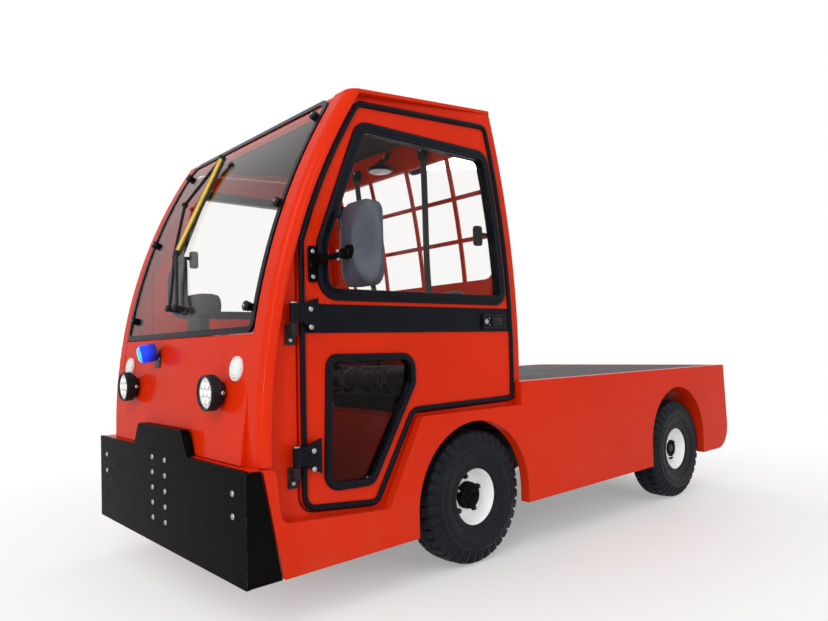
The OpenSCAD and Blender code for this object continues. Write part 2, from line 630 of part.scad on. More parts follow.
placed() frame_rails();
placed() cab_floor();
placed() battery_block();
placed() front_axle();
placed() rear_axle();
placed() leaf_springs();
placed() side_panel_left();
placed() side_panel_right();
placed() front_apron();
placed() front_cowl();
placed() windscreen_frame();
placed() cab_frame();
placed() roof_panel();
placed() rear_wall();
placed() window_guard();
placed() cab_glass();
placed() windscreen_trim();
placed() wiper();
placed() dashboard();
placed() driver_controls();
placed() seat_base();
placed() seats();
placed() front_bumper();
placed() work_lamps();
placed() marker_lamps();
placed() blue_spotlight();
placed() tail_lamps();
placed() deck();
placed() rear_panel();
placed() tow_hitch();
placed() hinge_brackets();
placed() door_left();
placed() door_left_glass();
placed() door_left_trim();
placed() mirror_left();
placed() door_right();
placed() door_right_glass();
placed() door_right_trim();
placed() mirror_right();
placed() knuckle_left();
placed() knuckle_right();
placed() tyre_fl();
placed() tyre_fr();
placed() tyre_rl();
placed() tyre_rr();
placed() rim_fl();
placed() rim_fr();
placed() rim_rl();
placed() rim_rr();
placed() steering_wheel();
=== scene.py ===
"""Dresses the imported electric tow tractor: paint, rubber, glass, lamps, treaded tyres, seats and small fittings.

Lengths in the tables are millimetres in the vehicle's own frame: x forward from the front axle, y left, z up.
"""
import json
import math

import bmesh
import bpy
import numpy as np
from mathutils import Matrix


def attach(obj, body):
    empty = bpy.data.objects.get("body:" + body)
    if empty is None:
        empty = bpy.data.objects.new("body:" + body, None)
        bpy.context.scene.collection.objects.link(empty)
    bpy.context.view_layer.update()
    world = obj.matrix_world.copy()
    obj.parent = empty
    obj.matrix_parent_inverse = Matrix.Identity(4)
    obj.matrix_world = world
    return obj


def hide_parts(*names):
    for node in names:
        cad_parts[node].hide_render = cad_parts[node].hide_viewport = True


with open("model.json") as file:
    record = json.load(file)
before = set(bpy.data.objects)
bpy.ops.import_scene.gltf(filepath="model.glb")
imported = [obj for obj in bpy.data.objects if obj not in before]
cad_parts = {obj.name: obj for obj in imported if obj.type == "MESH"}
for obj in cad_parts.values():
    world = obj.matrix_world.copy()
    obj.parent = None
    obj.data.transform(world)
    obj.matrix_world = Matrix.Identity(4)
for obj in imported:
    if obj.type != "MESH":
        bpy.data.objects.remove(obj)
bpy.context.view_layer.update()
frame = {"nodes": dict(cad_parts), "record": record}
NODES = frame["nodes"]
FRONT_AXLE_X, REAR_AXLE_X, AXLE_Z, WHEEL_Y = 647.0, -1640, 270, 604
MM = 0.001
TURN = 2 * math.pi
SIDES = (("left", 1), ("right", -1))


def at(x, y, z):
    """A point of the vehicle's own frame in millimetres, moved to the part's frame in metres."""
    return np.stack(np.broadcast_arrays(np.asarray(x, float) + FRONT_AXLE_X, y, z), -1) * MM


# Surfaces

def grid_quads(rows, cols, close_rows, close_cols):
    """Quads of a grid of points: each takes a point, its next row, next row and column, and next column;
    a closed direction runs on from its last line to its first."""
    i, j = np.meshgrid(np.arange(rows - (not close_rows)), np.arange(cols - (not close_cols)), indexing="ij")
    below, beside = (i + 1) % rows, (j + 1) % cols
    return np.stack([i * cols + j, below * cols + j, below * cols + beside, i * cols + beside], -1).reshape(-1, 4)


def closed_mesh(name, points, quads, finish_of=None):
    """A mesh with its seams and poles merged and its faces turned outwards."""
    mesh = bpy.data.meshes.new(name)
    mesh.from_pydata(points.tolist(), [], quads.tolist())
    if finish_of is not None:
        mesh.polygons.foreach_set("material_index", finish_of)
    work = bmesh.new()
    work.from_mesh(mesh)
    bmesh.ops.remove_doubles(work, verts=work.verts, dist=1e-6)
    bmesh.ops.dissolve_degenerate(work, edges=work.edges, dist=1e-7)
    bmesh.ops.recalc_face_normals(work, faces=work.faces)
    work.to_mesh(mesh)
    work.free()
    return mesh


def placed(name, data):
    """An object at the scene's origin."""
    obj = bpy.data.objects.new(name, data)
    bpy.context.scene.collection.objects.link(obj)
    return obj


def smoothed(mesh):
    mesh.polygons.foreach_set("use_smooth", np.ones(len(mesh.polygons), dtype=bool))


class Piece:
    """One mesh gathered from several grids of points, each with its own finish."""

    def __init__(self, name, body, slot, *finishes):
        self.name, self.body, self.slot, self.finishes = name, body, slot, finishes
        self.points, self.quads, self.finish_of, self.total = [], [], [], 0

    def grid(self, points, close_rows=False, close_cols=False, finish=0):
        rows, cols = points.shape[:2]
        quads = grid_quads(rows, cols, close_rows, close_cols) + self.total
        self.points.append(points.reshape(-1, 3))
        self.quads.append(quads)
        self.finish_of.append(np.full(len(quads), finish, dtype=np.int32))
        self.total += rows * cols
        return self

    def ring(self, points, finish=0):
        """A grid whose columns run round, as on a lathe or a tube."""
        return self.grid(points, close_cols=True, finish=finish)

    def turned(self, profile, centre, axis, around, finish=0, sides=0):
        """A profile turned about an axis as lathe makes it."""
        return self.ring(lathe(profile, centre, axis, around, sides), finish)

    def block(self, *shape, finish=0):
        """A rounded block as pillow makes it."""
        return self.ring(pillow(*shape), finish)

    def make(self, crease=34.0, replaces=()):
        """Closes the mesh, makes it smooth but for its creases, and rides on the body."""
        mesh = closed_mesh(self.name, np.vstack(self.points), np.vstack(self.quads), np.concatenate(self.finish_of))
        smoothed(mesh)
        mesh.set_sharp_from_angle(angle=math.radians(crease))
        for finish in self.finishes:
            mesh.materials.append(finish)
        obj = placed(self.name, mesh)
        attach(obj, self.body)
        if replaces:
            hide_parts(*replaces)


def unit(v):
    """A vector, or each row of an array of vectors, at length one."""
    v = np.asarray(v, float)
    return v / np.linalg.norm(v, axis=-1, keepdims=True)


def square_to(axis):
    """Two unit directions square to an axis and to each other."""
    axis = unit(axis)
    side = unit(np.cross(axis, (0.0, 0.0, 1.0) if abs(axis[2]) < 0.9 else (1.0, 0.0, 0.0)))
    return side, np.cross(axis, side)


def tipped(angle):
    """Three axes turned about y, so that x dips by the angle."""
    return np.array([[math.cos(angle), 0, -math.sin(angle)], [0, 1, 0], [math.sin(angle), 0, math.cos(angle)]])


def lathe(profile, centre, axis, around, sides=0):
    """A profile of radius and distance along an axis, turned about it; with sides given, the radius grows
    towards the corners of a polygon with that many sides."""
    profile = np.asarray(profile, float) * MM
    turn = TURN * np.arange(around) / around
    swell = np.ones(around)
    if sides:
        half = math.pi / sides
        swell = 1 / np.cos(turn % (2 * half) - half)
    side, up = square_to(axis)
    spoke = np.cos(turn)[:, None] * side + np.sin(turn)[:, None] * up
    return centre + profile[:, 0, None, None] * (swell[:, None] * spoke) + profile[:, 1, None, None] * unit(axis)


def smooth_line(points, count):
    """A Catmull-Rom curve through the points, at count even steps of its parameter."""
    p = np.asarray(points, float)
    p = np.vstack([2 * p[0] - p[1], p, 2 * p[-1] - p[-2]])
    t = np.linspace(0, len(p) - 3 - 1e-9, count)
    k = t.astype(int)
    t = (t - k)[:, None]
    a, b, c, d = p[k], p[k + 1], p[k + 2], p[k + 3]
    return 0.5 * (2 * b + (c - a) * t + (2 * a - 5 * b + 4 * c - d) * t**2 + (3 * b - a - 3 * c + d) * t**3)


def swept(travel, section, up):
    """A closed section (sideways, upwards) as offsets from each point of a path: sideways is the direction of travel
    crossed with up, and upwards is square to both."""
    travel = unit(travel)
    side = unit(np.cross(travel, np.asarray(up, float)))
    rise = np.cross(side, travel)
    section = np.asarray(section, float) * MM
    return section[None, :, 0, None] * side[:, None] + section[None, :, 1, None] * rise[:, None]


def carried(path, section, up):
    """A closed section carried along a path; both ends are drawn in to the path to close them."""
    travel = np.gradient(path, axis=0)
    lift = swept(np.vstack([travel[:1], travel, travel[-1:]]), section, up)
    lift[[0, -1]] = 0
    return np.vstack([path[:1], path, path[-1:]])[:, None] + lift


def looped(path, section, up):
    """A closed section carried round a closed path: travel at a point is the line from the point before it to the
    one after."""
    return path[:, None] + swept(np.roll(path, -1, 0) - np.roll(path, 1, 0), section, up)


def rounded(corners, steps=9):
    """Corners of x, z and rounding: each becomes an arc about a centre on the line that halves it, as far out as
    the rounding over the sine of half the angle, from one touching point to the other."""
    corners = np.asarray(corners, float)
    b, r = corners[:, :2], np.maximum(corners[:, 2], 0.4)
    u, v = unit(np.roll(b, 1, 0) - b), unit(np.roll(b, -1, 0) - b)
    half = np.arccos(np.clip((u * v).sum(1), -1, 1)) / 2
    centre = b + unit(u + v) * (r / np.sin(half))[:, None]
    reach = (r / np.tan(half))[:, None]
    p, q = b + u * reach - centre, b + v * reach - centre
    start = np.arctan2(p[:, 1], p[:, 0])
    sweep = (np.arctan2(q[:, 1], q[:, 0]) - start + 3 * math.pi) % TURN - math.pi
    turn = start[:, None] + sweep[:, None] * np.linspace(0, 1, steps)
    return (centre[:, None] + r[:, None, None] * np.stack([np.cos(turn), np.sin(turn)], -1)).reshape(-1, 2)


def evened(loop, step):
    """A closed line with its points set at even steps of its length."""
    closed = np.vstack([loop, loop[:1]])
    length = np.concatenate([[0], np.cumsum(np.linalg.norm(np.diff(closed, axis=0), axis=1))])
    t = np.linspace(0, length[-1], int(length[-1] / step), endpoint=False)
    return np.stack([np.interp(t, length, closed[:, k]) for k in (0, 1)], -1)


def shrunk(loop, inwards):
    """A closed even line that runs anticlockwise, moved to the left of its travel."""
    travel = unit(np.roll(loop, -1, 0) - np.roll(loop, 1, 0))
    return loop + np.stack([-travel[:, 1], travel[:, 0]], -1) * inwards


def round_section(radius, around=12):
    """A circle as a section."""
    turn = TURN * np.arange(around) / around
    return np.stack([np.cos(turn), np.sin(turn)], -1) * radius


def oblong_section(half_w, half_t, around=20, power=4.0):
    """A rounded oblong: a circle whose cosine and sine are raised to a small power, then stretched."""
    turn = TURN * np.arange(around) / around
    c, s = np.cos(turn), np.sin(turn)
    return np.stack([half_w * np.sign(c) * np.abs(c)**(2 / power), half_t * np.sign(s) * np.abs(s)**(2 / power)], -1)


def pillow(centre, half, power=5.0, axes=None, rows=17, around=32):
    """A rounded block: a sphere's two angles with their sines and cosines raised to a small power, stretched to
    three half sizes in millimetres along three axes."""
    lat = np.linspace(-math.pi / 2, math.pi / 2, rows)[:, None]
    lon = TURN * np.arange(around)[None] / around
    bend = lambda v: np.sign(v) * np.abs(v)**(2 / power)
    parts = (bend(np.cos(lat)) * bend(np.cos(lon)), bend(np.cos(lat)) * bend(np.sin(lon)),
             bend(np.sin(lat)) + 0 * lon)
    axes = np.eye(3) if axes is None else np.asarray(axes, float)
    return centre + sum(p[..., None] * h * MM * a for p, h, a in zip(parts, half, axes))


def hex_bolt(piece, centre, axis, across=17.0, height=9.0, washer=13.0, finish=0):
    """A hexagon head on a washer: a washer's round profile, then a six-sided head with a turned-down top."""
    piece.turned([[0, 0], [washer, 0], [washer, 1.6], [washer - 1, 2.2], [0, 2.2]], centre, axis, 20, finish)
    r = across / 2
    head = [[0, 2], [r, 2], [r, 2 + height - 1.4], [r * 0.86, 2 + height], [0, 2 + height]]
    piece.turned(head, centre, axis, 24, finish, sides=6)


def button_bolt(piece, centre, axis, radius, height, finish=0):
    """A low round head with a six-sided socket: a quarter of an ellipse turned about the axis, stopped short of
    the middle and turned down into the socket."""
    a = np.linspace(0, 1.12, 6)
    dome = np.stack([radius * np.cos(a), height * np.sin(a)], -1)
    piece.turned(np.vstack([[0, -0.5], [radius, -0.5], dome]), centre, axis, 22, finish)
    hole = dome[-1, 0]
    socket = [[hole, dome[-1, 1]], [hole * 0.9, height * 0.55], [0, height * 0.5]]
    piece.turned(np.vstack([dome[-1:], socket]), centre, axis, 22, finish)


# Finishes

class Finish:
    """A node material. add makes a node, sets its sockets, and links a socket that is given as one."""

    def __init__(self, name):
        self.material = bpy.data.materials.new(name)
        self.material.use_nodes = True
        self.tree = self.material.node_tree
        self.tree.nodes.clear()
        self.shader = self.add("ShaderNodeBsdfPrincipled")
        self.out = self.add("ShaderNodeOutputMaterial", {}, {"Surface": self.shader.outputs[0]})
        self.place = self.add("ShaderNodeTexCoord").outputs["Object"]

    def add(self, kind, settings=None, sockets=None):
        node = self.tree.nodes.new(kind)
        for key, value in (settings or {}).items():
            setattr(node, key, value)
        self.put(node, sockets or {})
        return node

    def put(self, node, sockets):
        for key, value in sockets.items():
            if isinstance(value, bpy.types.NodeSocket):
                self.tree.links.new(value, node.inputs[key])
            else:
                node.inputs[key].default_value = value

    def set(self, **sockets):
        """Shader sockets by name, with underscores for spaces."""
        self.put(self.shader, {key.replace("_", " "): value for key, value in sockets.items()})

    def noise(self, scale, detail=3.0, roughness=0.55, stretch=None):
        place = self.place
        if stretch:
            place = self.add("ShaderNodeMapping", {}, {"Vector": place, "Scale": stretch}).outputs[0]
        return self.add("ShaderNodeTexNoise", {}, {"Vector": place, "Scale": scale, "Detail": detail,
                                                   "Roughness": roughness}).outputs["Fac"]

    def cells(self, scale):
        return self.add("ShaderNodeTexVoronoi", {"feature": "SMOOTH_F1"},
                        {"Vector": self.place, "Scale": scale}).outputs["Distance"]

    def bands(self, axis, period):
        """Bands along an axis with the given period in metres."""
        return self.add("ShaderNodeTexWave", {"bands_direction": axis},
                        {"Vector": self.place, "Scale": TURN / (20 * period)}).outputs["Fac"]

    def span(self, value, low, high, to_low, to_high):
        return self.add("ShaderNodeMapRange", {}, {"Value": value, "From Min": low, "From Max": high,
                                                   "To Min": to_low, "To Max": to_high}).outputs[0]

    def patchy(self, scale, detail, low, high):
        """A value that wanders from low to high in patches."""
        return self.span(self.noise(scale, detail), 0.3, 0.7, low, high)

    def maths(self, operation, a, b):
        return self.add("ShaderNodeMath", {"operation": operation}, {0: a, 1: b}).outputs[0]

    def ramp(self, value, *stops):
        node = self.add("ShaderNodeValToRGB", {}, {"Fac": value})
        ends = node.color_ramp.elements
        while len(ends) < len(stops):
            ends.new(0.5)
        for end, (place, colour) in zip(ends, stops):
            end.position = place
            end.color = (*colour, 1.0)
        return node.outputs["Color"]

    def mix(self, factor, a, b):
        sockets = {0: factor, 6: a if isinstance(a, bpy.types.NodeSocket) else (*a, 1.0),
                   7: b if isinstance(b, bpy.types.NodeSocket) else (*b, 1.0)}
        return self.add("ShaderNodeMix", {"data_type": "RGBA"}, sockets).outputs[2]

    def height(self):
        return self.add("ShaderNodeSeparateXYZ", {}, {0: self.place}).outputs["Z"]

    def soft_edges(self, radius):
        return self.add("ShaderNodeBevel", {"samples": 4}, {"Radius": radius}).outputs[0]

    # Paint, steel and tyre finishes lighten their colour along this mask: painted highlight on sharp edges, in steel
    # and tyres together with wear.
    def sharp_edge_mask(self, radius):
        """1 along sharp edges and 0 on flats: how far the rounded normal turns from the true one."""
        true = self.add("ShaderNodeNewGeometry").outputs["Normal"]
        turned = self.add("ShaderNodeVectorMath", {"operation": "DOT_PRODUCT"},
                          {0: self.soft_edges(radius), 1: true}).outputs["Value"]
        return self.span(turned, 0.97, 0.8, 0.0, 1.0)

    def bump(self, height, strength, distance, normal=None):
        sockets = {"Height": height, "Strength": strength, "Distance": distance}
        if normal is not None:
            sockets["Normal"] = normal
        return self.add("ShaderNodeBump", {}, sockets).outputs[0]


def shade(colour, factor):
    return tuple(c * factor for c in colour)


def gloss_paint(name, light, dark, dust=(0.34, 0.20, 0.13), dust_most=0.08, coat=0.14, gloss=0.02):
    """Glossy two-coat paint: a slow change of tone, a painted highlight along sharp edges, road dust low down, orange
    peel.
    """
    f = Finish(name)
    tone = f.ramp(f.noise(1.7, 2.0), (0.35, dark), (0.65, light))
    low = f.span(f.height(), 0.14, 0.62, dust_most, 0.0)
    grime = f.maths("MULTIPLY", low, f.span(f.noise(9.0, 5.0, 0.65), 0.35, 0.7, 0.15, 1.0))
    # Painted highlight: every sharp edge is lifted evenly towards a paler colour.
    highlight_colour = tuple(min(1.0, c * 1.5 + 0.05) for c in light)
    edge_highlit = f.mix(f.maths("MULTIPLY", f.sharp_edge_mask(0.0025), 0.22), tone, highlight_colour)
    colour = f.mix(grime, edge_highlit, dust)
    rough = f.maths("ADD", f.patchy(24.0, 4.0, 0.24, 0.36), grime)
    peel = f.bump(f.noise(420.0, 1.0), 0.012, 0.0004, f.soft_edges(0.0035))
    f.set(Base_Color=colour, Roughness=rough, Normal=peel, Coat_Weight=coat, Coat_Roughness=0.05, Coat_IOR=1.5,
          Specular_IOR_Level=gloss)
    return f.material


def satin_steel(name, colour, grain=900.0, rough=(0.36, 0.5), edge_wear_and_highlight=0.5, gloss=0.12):
    """Powder-coated steel: a fine leathery grain, patches of bare bright steel along sharp edges that are partly wear
    and partly painted highlight, and faint dust.
    """
    f = Finish(name)
    tone = f.ramp(f.noise(6.0, 4.0), (0.3, shade(colour, 0.8)), (0.7, shade(colour, 1.25)))
    # Partly wear, partly painted highlight: sharp edges turn grey in patches.
    worn_and_highlit = f.maths("MULTIPLY", f.sharp_edge_mask(0.0022), f.span(f.noise(70.0, 5.0, 0.7), 0.42, 0.6, 0.0, edge_wear_and_highlight))
    edges_worn_and_highlit = f.mix(worn_and_highlit, tone, (0.5, 0.5, 0.5))
    low = f.maths("MULTIPLY", f.span(f.height(), 0.1, 0.6, 0.012, 0.0), f.noise(14.0, 5.0))
    colour = f.mix(low, edges_worn_and_highlit, (0.35, 0.31, 0.27))
    f.set(Base_Color=colour, Roughness=f.patchy(30.0, 4.0, *rough), Specular_IOR_Level=gloss,
          Normal=f.bump(f.noise(grain, 2.0), 0.12, 0.0005, f.soft_edges(0.003)))
    return f.material


def bright_steel(name, colour=(0.62, 0.62, 0.63), rough=(0.2, 0.38)):
    """Plated steel with a fine brushed grain and cloudy patches."""
    f = Finish(name)
    grain = f.noise(260.0, 4.0, 0.6, (1.0, 6.0, 1.0))
    f.set(Base_Color=f.ramp(f.noise(60.0, 3.0), (0.3, shade(colour, 0.78)), (0.7, colour)), Metallic=1.0,
          Roughness=f.span(grain, 0.3, 0.7, *rough), Normal=f.bump(grain, 0.08, 0.0003, f.soft_edges(0.0008)))
    return f.material


def moulded(name, colour, grain=1400.0, rough=(0.42, 0.58), depth=0.16, gloss=0.14):
    """Moulded plastic or rubber: a pebbled grain, a slow change of tone and a greyer tone along sharp edges."""
    f = Finish(name)
    tone = f.ramp(f.noise(11.0, 4.0), (0.32, shade(colour, 0.75)), (0.68, shade(colour, 1.2)))
    # Greyer along sharp edges.
    paler_edges = f.mix(f.maths("MULTIPLY", f.sharp_edge_mask(0.0018), 0.25), tone, tuple(c + 0.05 for c in colour))
    pebble = f.cells(grain)
    f.set(Base_Color=paler_edges, Roughness=f.patchy(40.0, 4.0, *rough), Specular_IOR_Level=gloss,
          Normal=f.bump(pebble, depth, 0.0004, f.soft_edges(0.0022)))
    return f.material


def tread_rubber(name):
    """Tyre rubber: charcoal, paler and bluer in patches along sharp edges, partly scuffs and partly painted highlight,
    a fine skin grain and dusty grooves.
    """
    f = Finish(name)
    tone = f.ramp(f.noise(7.0, 5.0, 0.6), (0.3, (0.004, 0.005, 0.0075)), (0.7, (0.009, 0.0105, 0.0155)))
    # Partly scuffs, partly painted highlight: paler and bluer in patches along sharp edges.
    scuff_and_highlight = f.mix(f.maths("MULTIPLY", f.sharp_edge_mask(0.003), f.span(f.noise(120.0, 4.0), 0.4, 0.65, 0.0, 0.6)), tone,
                  (0.11, 0.118, 0.135))
    dusty = f.mix(f.span(f.noise(22.0, 6.0, 0.7), 0.55, 0.8, 0.0, 0.2), scuff_and_highlight, (0.06, 0.066, 0.08))
    f.set(Base_Color=dusty, Roughness=f.patchy(55.0, 4.0, 0.38, 0.58), Specular_IOR_Level=0.13,
          Normal=f.bump(f.noise(800.0, 3.0), 0.18, 0.0006, f.soft_edges(0.0015)))
    return f.material


def pane(name, tint, below_waist_painted_shade):
    """Thin sheet glass with a slight tint, a second colour below the waist, which on the door glass is darker as
    painted shade of the cab's inside, faint waviness and a trace of dust.
    """
    f = Finish(name)
    cloud = f.noise(1.3, 2.0)
    high = f.ramp(cloud, (0.3, shade(tint, 0.985)), (0.7, tint))
    # Below the waist: on the door glass, a darker colour as painted shade of the footwell seen through the low pane.
    low = f.ramp(cloud, (0.3, shade(below_waist_painted_shade, 0.96)), (0.7, below_waist_painted_shade))
    f.set(Base_Color=f.mix(f.span(f.height(), 0.9, 0.96, 0.0, 1.0), low, high),
          Transmission_Weight=1.0, IOR=1.14, Roughness=f.span(f.noise(18.0, 5.0), 0.45, 0.8, 0.0, 0.03),
          Normal=f.bump(f.noise(5.0, 1.0), 0.012, 0.002))
    return f.material


def lens(name, colour, glow=0.0, period=0.006):
    """Moulded lens: fine flutes along its height, a clear coat, and light of its own where it glows."""
    f = Finish(name)
    flute = f.bands("Y", period)
    tone = f.ramp(flute, (0.2, shade(colour, 0.7)), (0.8, colour))
    f.set(Base_Color=tone, Roughness=f.patchy(90.0, 2.0, 0.08, 0.16), Coat_Weight=0.25,
          Coat_Roughness=0.03, Specular_IOR_Level=0.12,
          Normal=f.bump(flute, 0.25, 0.0008))
    if glow:
        f.set(Emission_Color=tone, Emission_Strength=glow)
    return f.material


def lit_barrel(name, rear, front):
    """Lamp barrel with painted light from its own lens: painted blue light and a faint glow at its front, fading to
    near black at its rear, by the distance along the vehicle."""
    f = Finish(name)
    along = f.add("ShaderNodeSeparateXYZ", {}, {0: f.place}).outputs["X"]
    # Painted light: the blue ramp and the emission stand for the lens's light falling on the barrel.
    tone = f.ramp(f.span(along, rear, front, 0.0, 1.0), (0.1, (0.004, 0.006, 0.016)), (0.45, (0.008, 0.014, 0.30)),
                  (0.9, (0.015, 0.05, 0.75)))
    f.set(Base_Color=tone, Roughness=f.patchy(60.0, 3.0, 0.26, 0.4), Specular_IOR_Level=0.2,
          Normal=f.bump(f.noise(700.0, 2.0), 0.05, 0.0003, f.soft_edges(0.001)), Emission_Color=tone,
          Emission_Strength=0.55)
    return f.material


def ribbed_mat(name, colour):
    """Ribbed rubber deck mat: fine ribs along the deck, a pebbled skin, scuffs and dust trodden into it."""
    f = Finish(name)
    ribs = f.bands("Y", 0.0092)
    scuffs = f.span(f.noise(5.0, 6.0, 0.7, (0.25, 1.0, 1.0)), 0.42, 0.72, 0.0, 0.55)
    tone = f.mix(scuffs, f.ramp(f.noise(2.4, 4.0), (0.3, shade(colour, 0.8)), (0.7, colour)),
                 (0.17, 0.168, 0.17))
    grain = f.bump(f.noise(900.0, 2.0), 0.2, 0.0004, f.soft_edges(0.0015))
    f.set(Base_Color=tone, Roughness=f.patchy(30.0, 4.0, 0.6, 0.82), Specular_IOR_Level=0.15,
          Normal=f.bump(ribs, 0.35, 0.0016, grain))
    return f.material


def seat_cloth(name, colour):
    """Coated seat cloth: two crossed sets of fine threads, slow creases and a soft sheen."""
    f = Finish(name)
    weave = f.maths("MULTIPLY", f.bands("Y", 0.0024), f.bands("DIAGONAL", 0.0024))
    tone = f.mix(weave, shade(colour, 0.6), colour)
    creases = f.bump(f.noise(26.0, 4.0), 0.18, 0.004)
    f.set(Base_Color=f.mix(f.span(f.noise(5.0, 3.0), 0.35, 0.7, 0.0, 0.4), tone, shade(colour, 1.6)),
          Roughness=f.patchy(60.0, 3.0, 0.5, 0.7), Sheen_Weight=0.3, Sheen_Roughness=0.4,
          Normal=f.bump(weave, 0.3, 0.0005, creases))
    return f.material


def webbing_cloth(name, colour):
    """Belt webbing: herringbone bands across the strap and fine ribs along it."""
    f = Finish(name)
    twill = f.maths("MULTIPLY", f.bands("Z", 0.0035), f.bands("DIAGONAL", 0.0045))
    f.set(Base_Color=f.mix(twill, shade(colour, 0.55), colour),
          Roughness=f.patchy(80.0, 2.0, 0.6, 0.75), Sheen_Weight=0.25,
          Normal=f.bump(twill, 0.4, 0.0006))
    return f.material


def mirror_face(name):
    """Silvered glass with a trace of haze."""
    f = Finish(name)
    f.set(Base_Color=f.ramp(f.noise(9.0, 3.0), (0.3, (0.78, 0.8, 0.81)), (0.7, (0.9, 0.91, 0.92))), Metallic=1.0,
          Roughness=f.span(f.noise(30.0, 4.0), 0.4, 0.8, 0.01, 0.06))
    return f.material


ORANGE = gloss_paint("cab_orange_paint", (0.67, 0.024, 0.002), (0.62, 0.021, 0.0018))
BUMPER_BLACK = satin_steel("bumper_satin_black", (0.003, 0.0032, 0.003), rough=(0.26, 0.36), edge_wear_and_highlight=0.3, gloss=0.01)
HINGE_BLACK = satin_steel("hinge_black", (0.014, 0.014, 0.015), edge_wear_and_highlight=0.35)
CHASSIS_GREY = satin_steel("chassis_paint", (0.035, 0.036, 0.038), rough=(0.42, 0.58), edge_wear_and_highlight=0.3)
BATTERY_GREY = satin_steel("battery_case_paint", (0.10, 0.11, 0.125), rough=(0.4, 0.52), edge_wear_and_highlight=0.3)
RIM_WHITE = gloss_paint("rim_white_enamel", (0.96, 0.96, 0.96), (0.93, 0.93, 0.93), dust=(0.6, 0.58, 0.55),
                        dust_most=0.06)
WHITE_PLASTIC = gloss_paint("lamp_bezel_white", (0.80, 0.80, 0.80), (0.70, 0.70, 0.70), dust=(0.5, 0.48, 0.45))
TYRE_RUBBER = tread_rubber("tyre_rubber")
SEAL_RUBBER = moulded("door_seal_rubber", (0.0035, 0.0042, 0.008), rough=(0.24, 0.36), depth=0.06, gloss=0.09)
BLACK_PLASTIC = moulded("black_trim_plastic", (0.014, 0.014, 0.016))
MIRROR_GREY = moulded("mirror_housing_grey", (0.052, 0.057, 0.078), rough=(0.34, 0.46), depth=0.06, gloss=0.3)
FLOOR_MAT = moulded("cab_floor_mat", (0.012, 0.012, 0.013), grain=300.0, rough=(0.6, 0.75), depth=0.3)
GREY_PLASTIC = moulded("dash_grey_plastic", (0.026, 0.026, 0.028), rough=(0.5, 0.64))
LAMP_BLACK = moulded("lamp_body_black", (0.012, 0.012, 0.013), rough=(0.3, 0.42), depth=0.06)
# Painted shade: the felt is as dark as the shaded roof inside.
LINING_PAINTED_SHADE = moulded("roof_lining_felt_painted_shade", (0.05, 0.034, 0.04), grain=700.0, rough=(0.8, 0.92), depth=0.3)
SCREEN_GLASS = pane("windscreen_glass", (0.97, 0.955, 0.94), (0.97, 0.955, 0.94))
# Painted shade: the low pane is darkened to stand for the shaded footwell behind it.
DOOR_GLASS = pane("door_glass", (0.988, 0.992, 0.992), (0.52, 0.46, 0.46))
DECK_MAT = ribbed_mat("deck_mat_rubber", (0.10, 0.095, 0.102))
SEAT_CLOTH = seat_cloth("seat_cloth_navy", (0.022, 0.028, 0.05))
BELT = webbing_cloth("belt_webbing", (0.03, 0.03, 0.032))
BOLT_STEEL = bright_steel("bolt_plated_steel", (0.42, 0.43, 0.45))
DARK_STEEL = bright_steel("nut_dark_steel", (0.09, 0.09, 0.095), (0.3, 0.5))
GOLD_SLEEVE = bright_steel("wiper_sleeve_yellow_plating", (0.52, 0.34, 0.07), (0.28, 0.44))
REFLECTOR = bright_steel("lamp_reflector", (0.8, 0.8, 0.8), (0.08, 0.2))
MIRROR = mirror_face("mirror_silver")
CLEAR_LENS = lens("lamp_clear_lens", (0.86, 0.87, 0.86), period=0.011)
LED_LENS = lens("led_lens", (0.95, 0.93, 0.86), glow=0.25, period=0.009)
RED_LENS = lens("tail_red_lens", (0.50, 0.012, 0.012))
AMBER_LENS = lens("tail_amber_lens", (0.72, 0.20, 0.01))
BLUE_LENS = lens("spot_blue_lens", (0.06, 0.45, 0.95), glow=0.9, period=0.02)
# Painted glow of the spot lamp's light on its barrel.
BLUE_BARREL_PAINTED_GLOW = lit_barrel("spot_body_blue", 1.612, 1.668)

NODE_FINISH = {
    "chassis_steel": CHASSIS_GREY, "body_paint": ORANGE, "black_steel": BUMPER_BLACK, "tyre": TYRE_RUBBER,
    "rim_paint": RIM_WHITE, "glass": DOOR_GLASS, "seal_rubber": SEAL_RUBBER, "black_plastic": BLACK_PLASTIC,
    "seat_fabric": SEAT_CLOTH, "lamp_black": LAMP_BLACK, "white_lens": CLEAR_LENS, "red_lens": RED_LENS,
    "blue_lamp": BLUE_BARREL_PAINTED_GLOW, "deck_mat": DECK_MAT, "battery_case": BATTERY_GREY}
OWN_FINISH = {"cab_glass": SCREEN_GLASS, "hinge_brackets": HINGE_BLACK, "dashboard": GREY_PLASTIC,
              "cab_floor": ORANGE, "mirror_left": MIRROR_GREY, "mirror_right": MIRROR_GREY}
for part in frame["record"]["subparts"]:
    node = NODES[part["node"]]
    node.data.materials.clear()
    node.data.materials.append(OWN_FINISH.get(part["node"], NODE_FINISH[part["material_slot"]]))


# Wheels

def smooth_step(value, low, high):
    """0 below low, 1 above high, and 3t squared less 2t cubed between."""
    t = np.clip((value - low) / (high - low), 0, 1)
    return t * t * (3 - 2 * t)


TYRE_SECTION = [[113, 60], [112.5, 66], [117, 70], [126, 71.5], [136, 71], [148, 73], [166, 77], [190, 79.6],
                [212, 78.6], [232, 74.5], [247, 69.5], [257, 64.5], [263.5, 59], [267, 51], [268.6, 38],
                [269.6, 20], [270, 0]]
SIDEWALL_RINGS = ((134, 2.6, 2.0), (168, 2.8, 3.0), (178, 2.8, 3.0), (206, 3.0, 3.4))
PITCHES, COLUMNS, GROOVE_DEPTH, MID_SIDEWALL_R = 36, 14, 8.5, 190


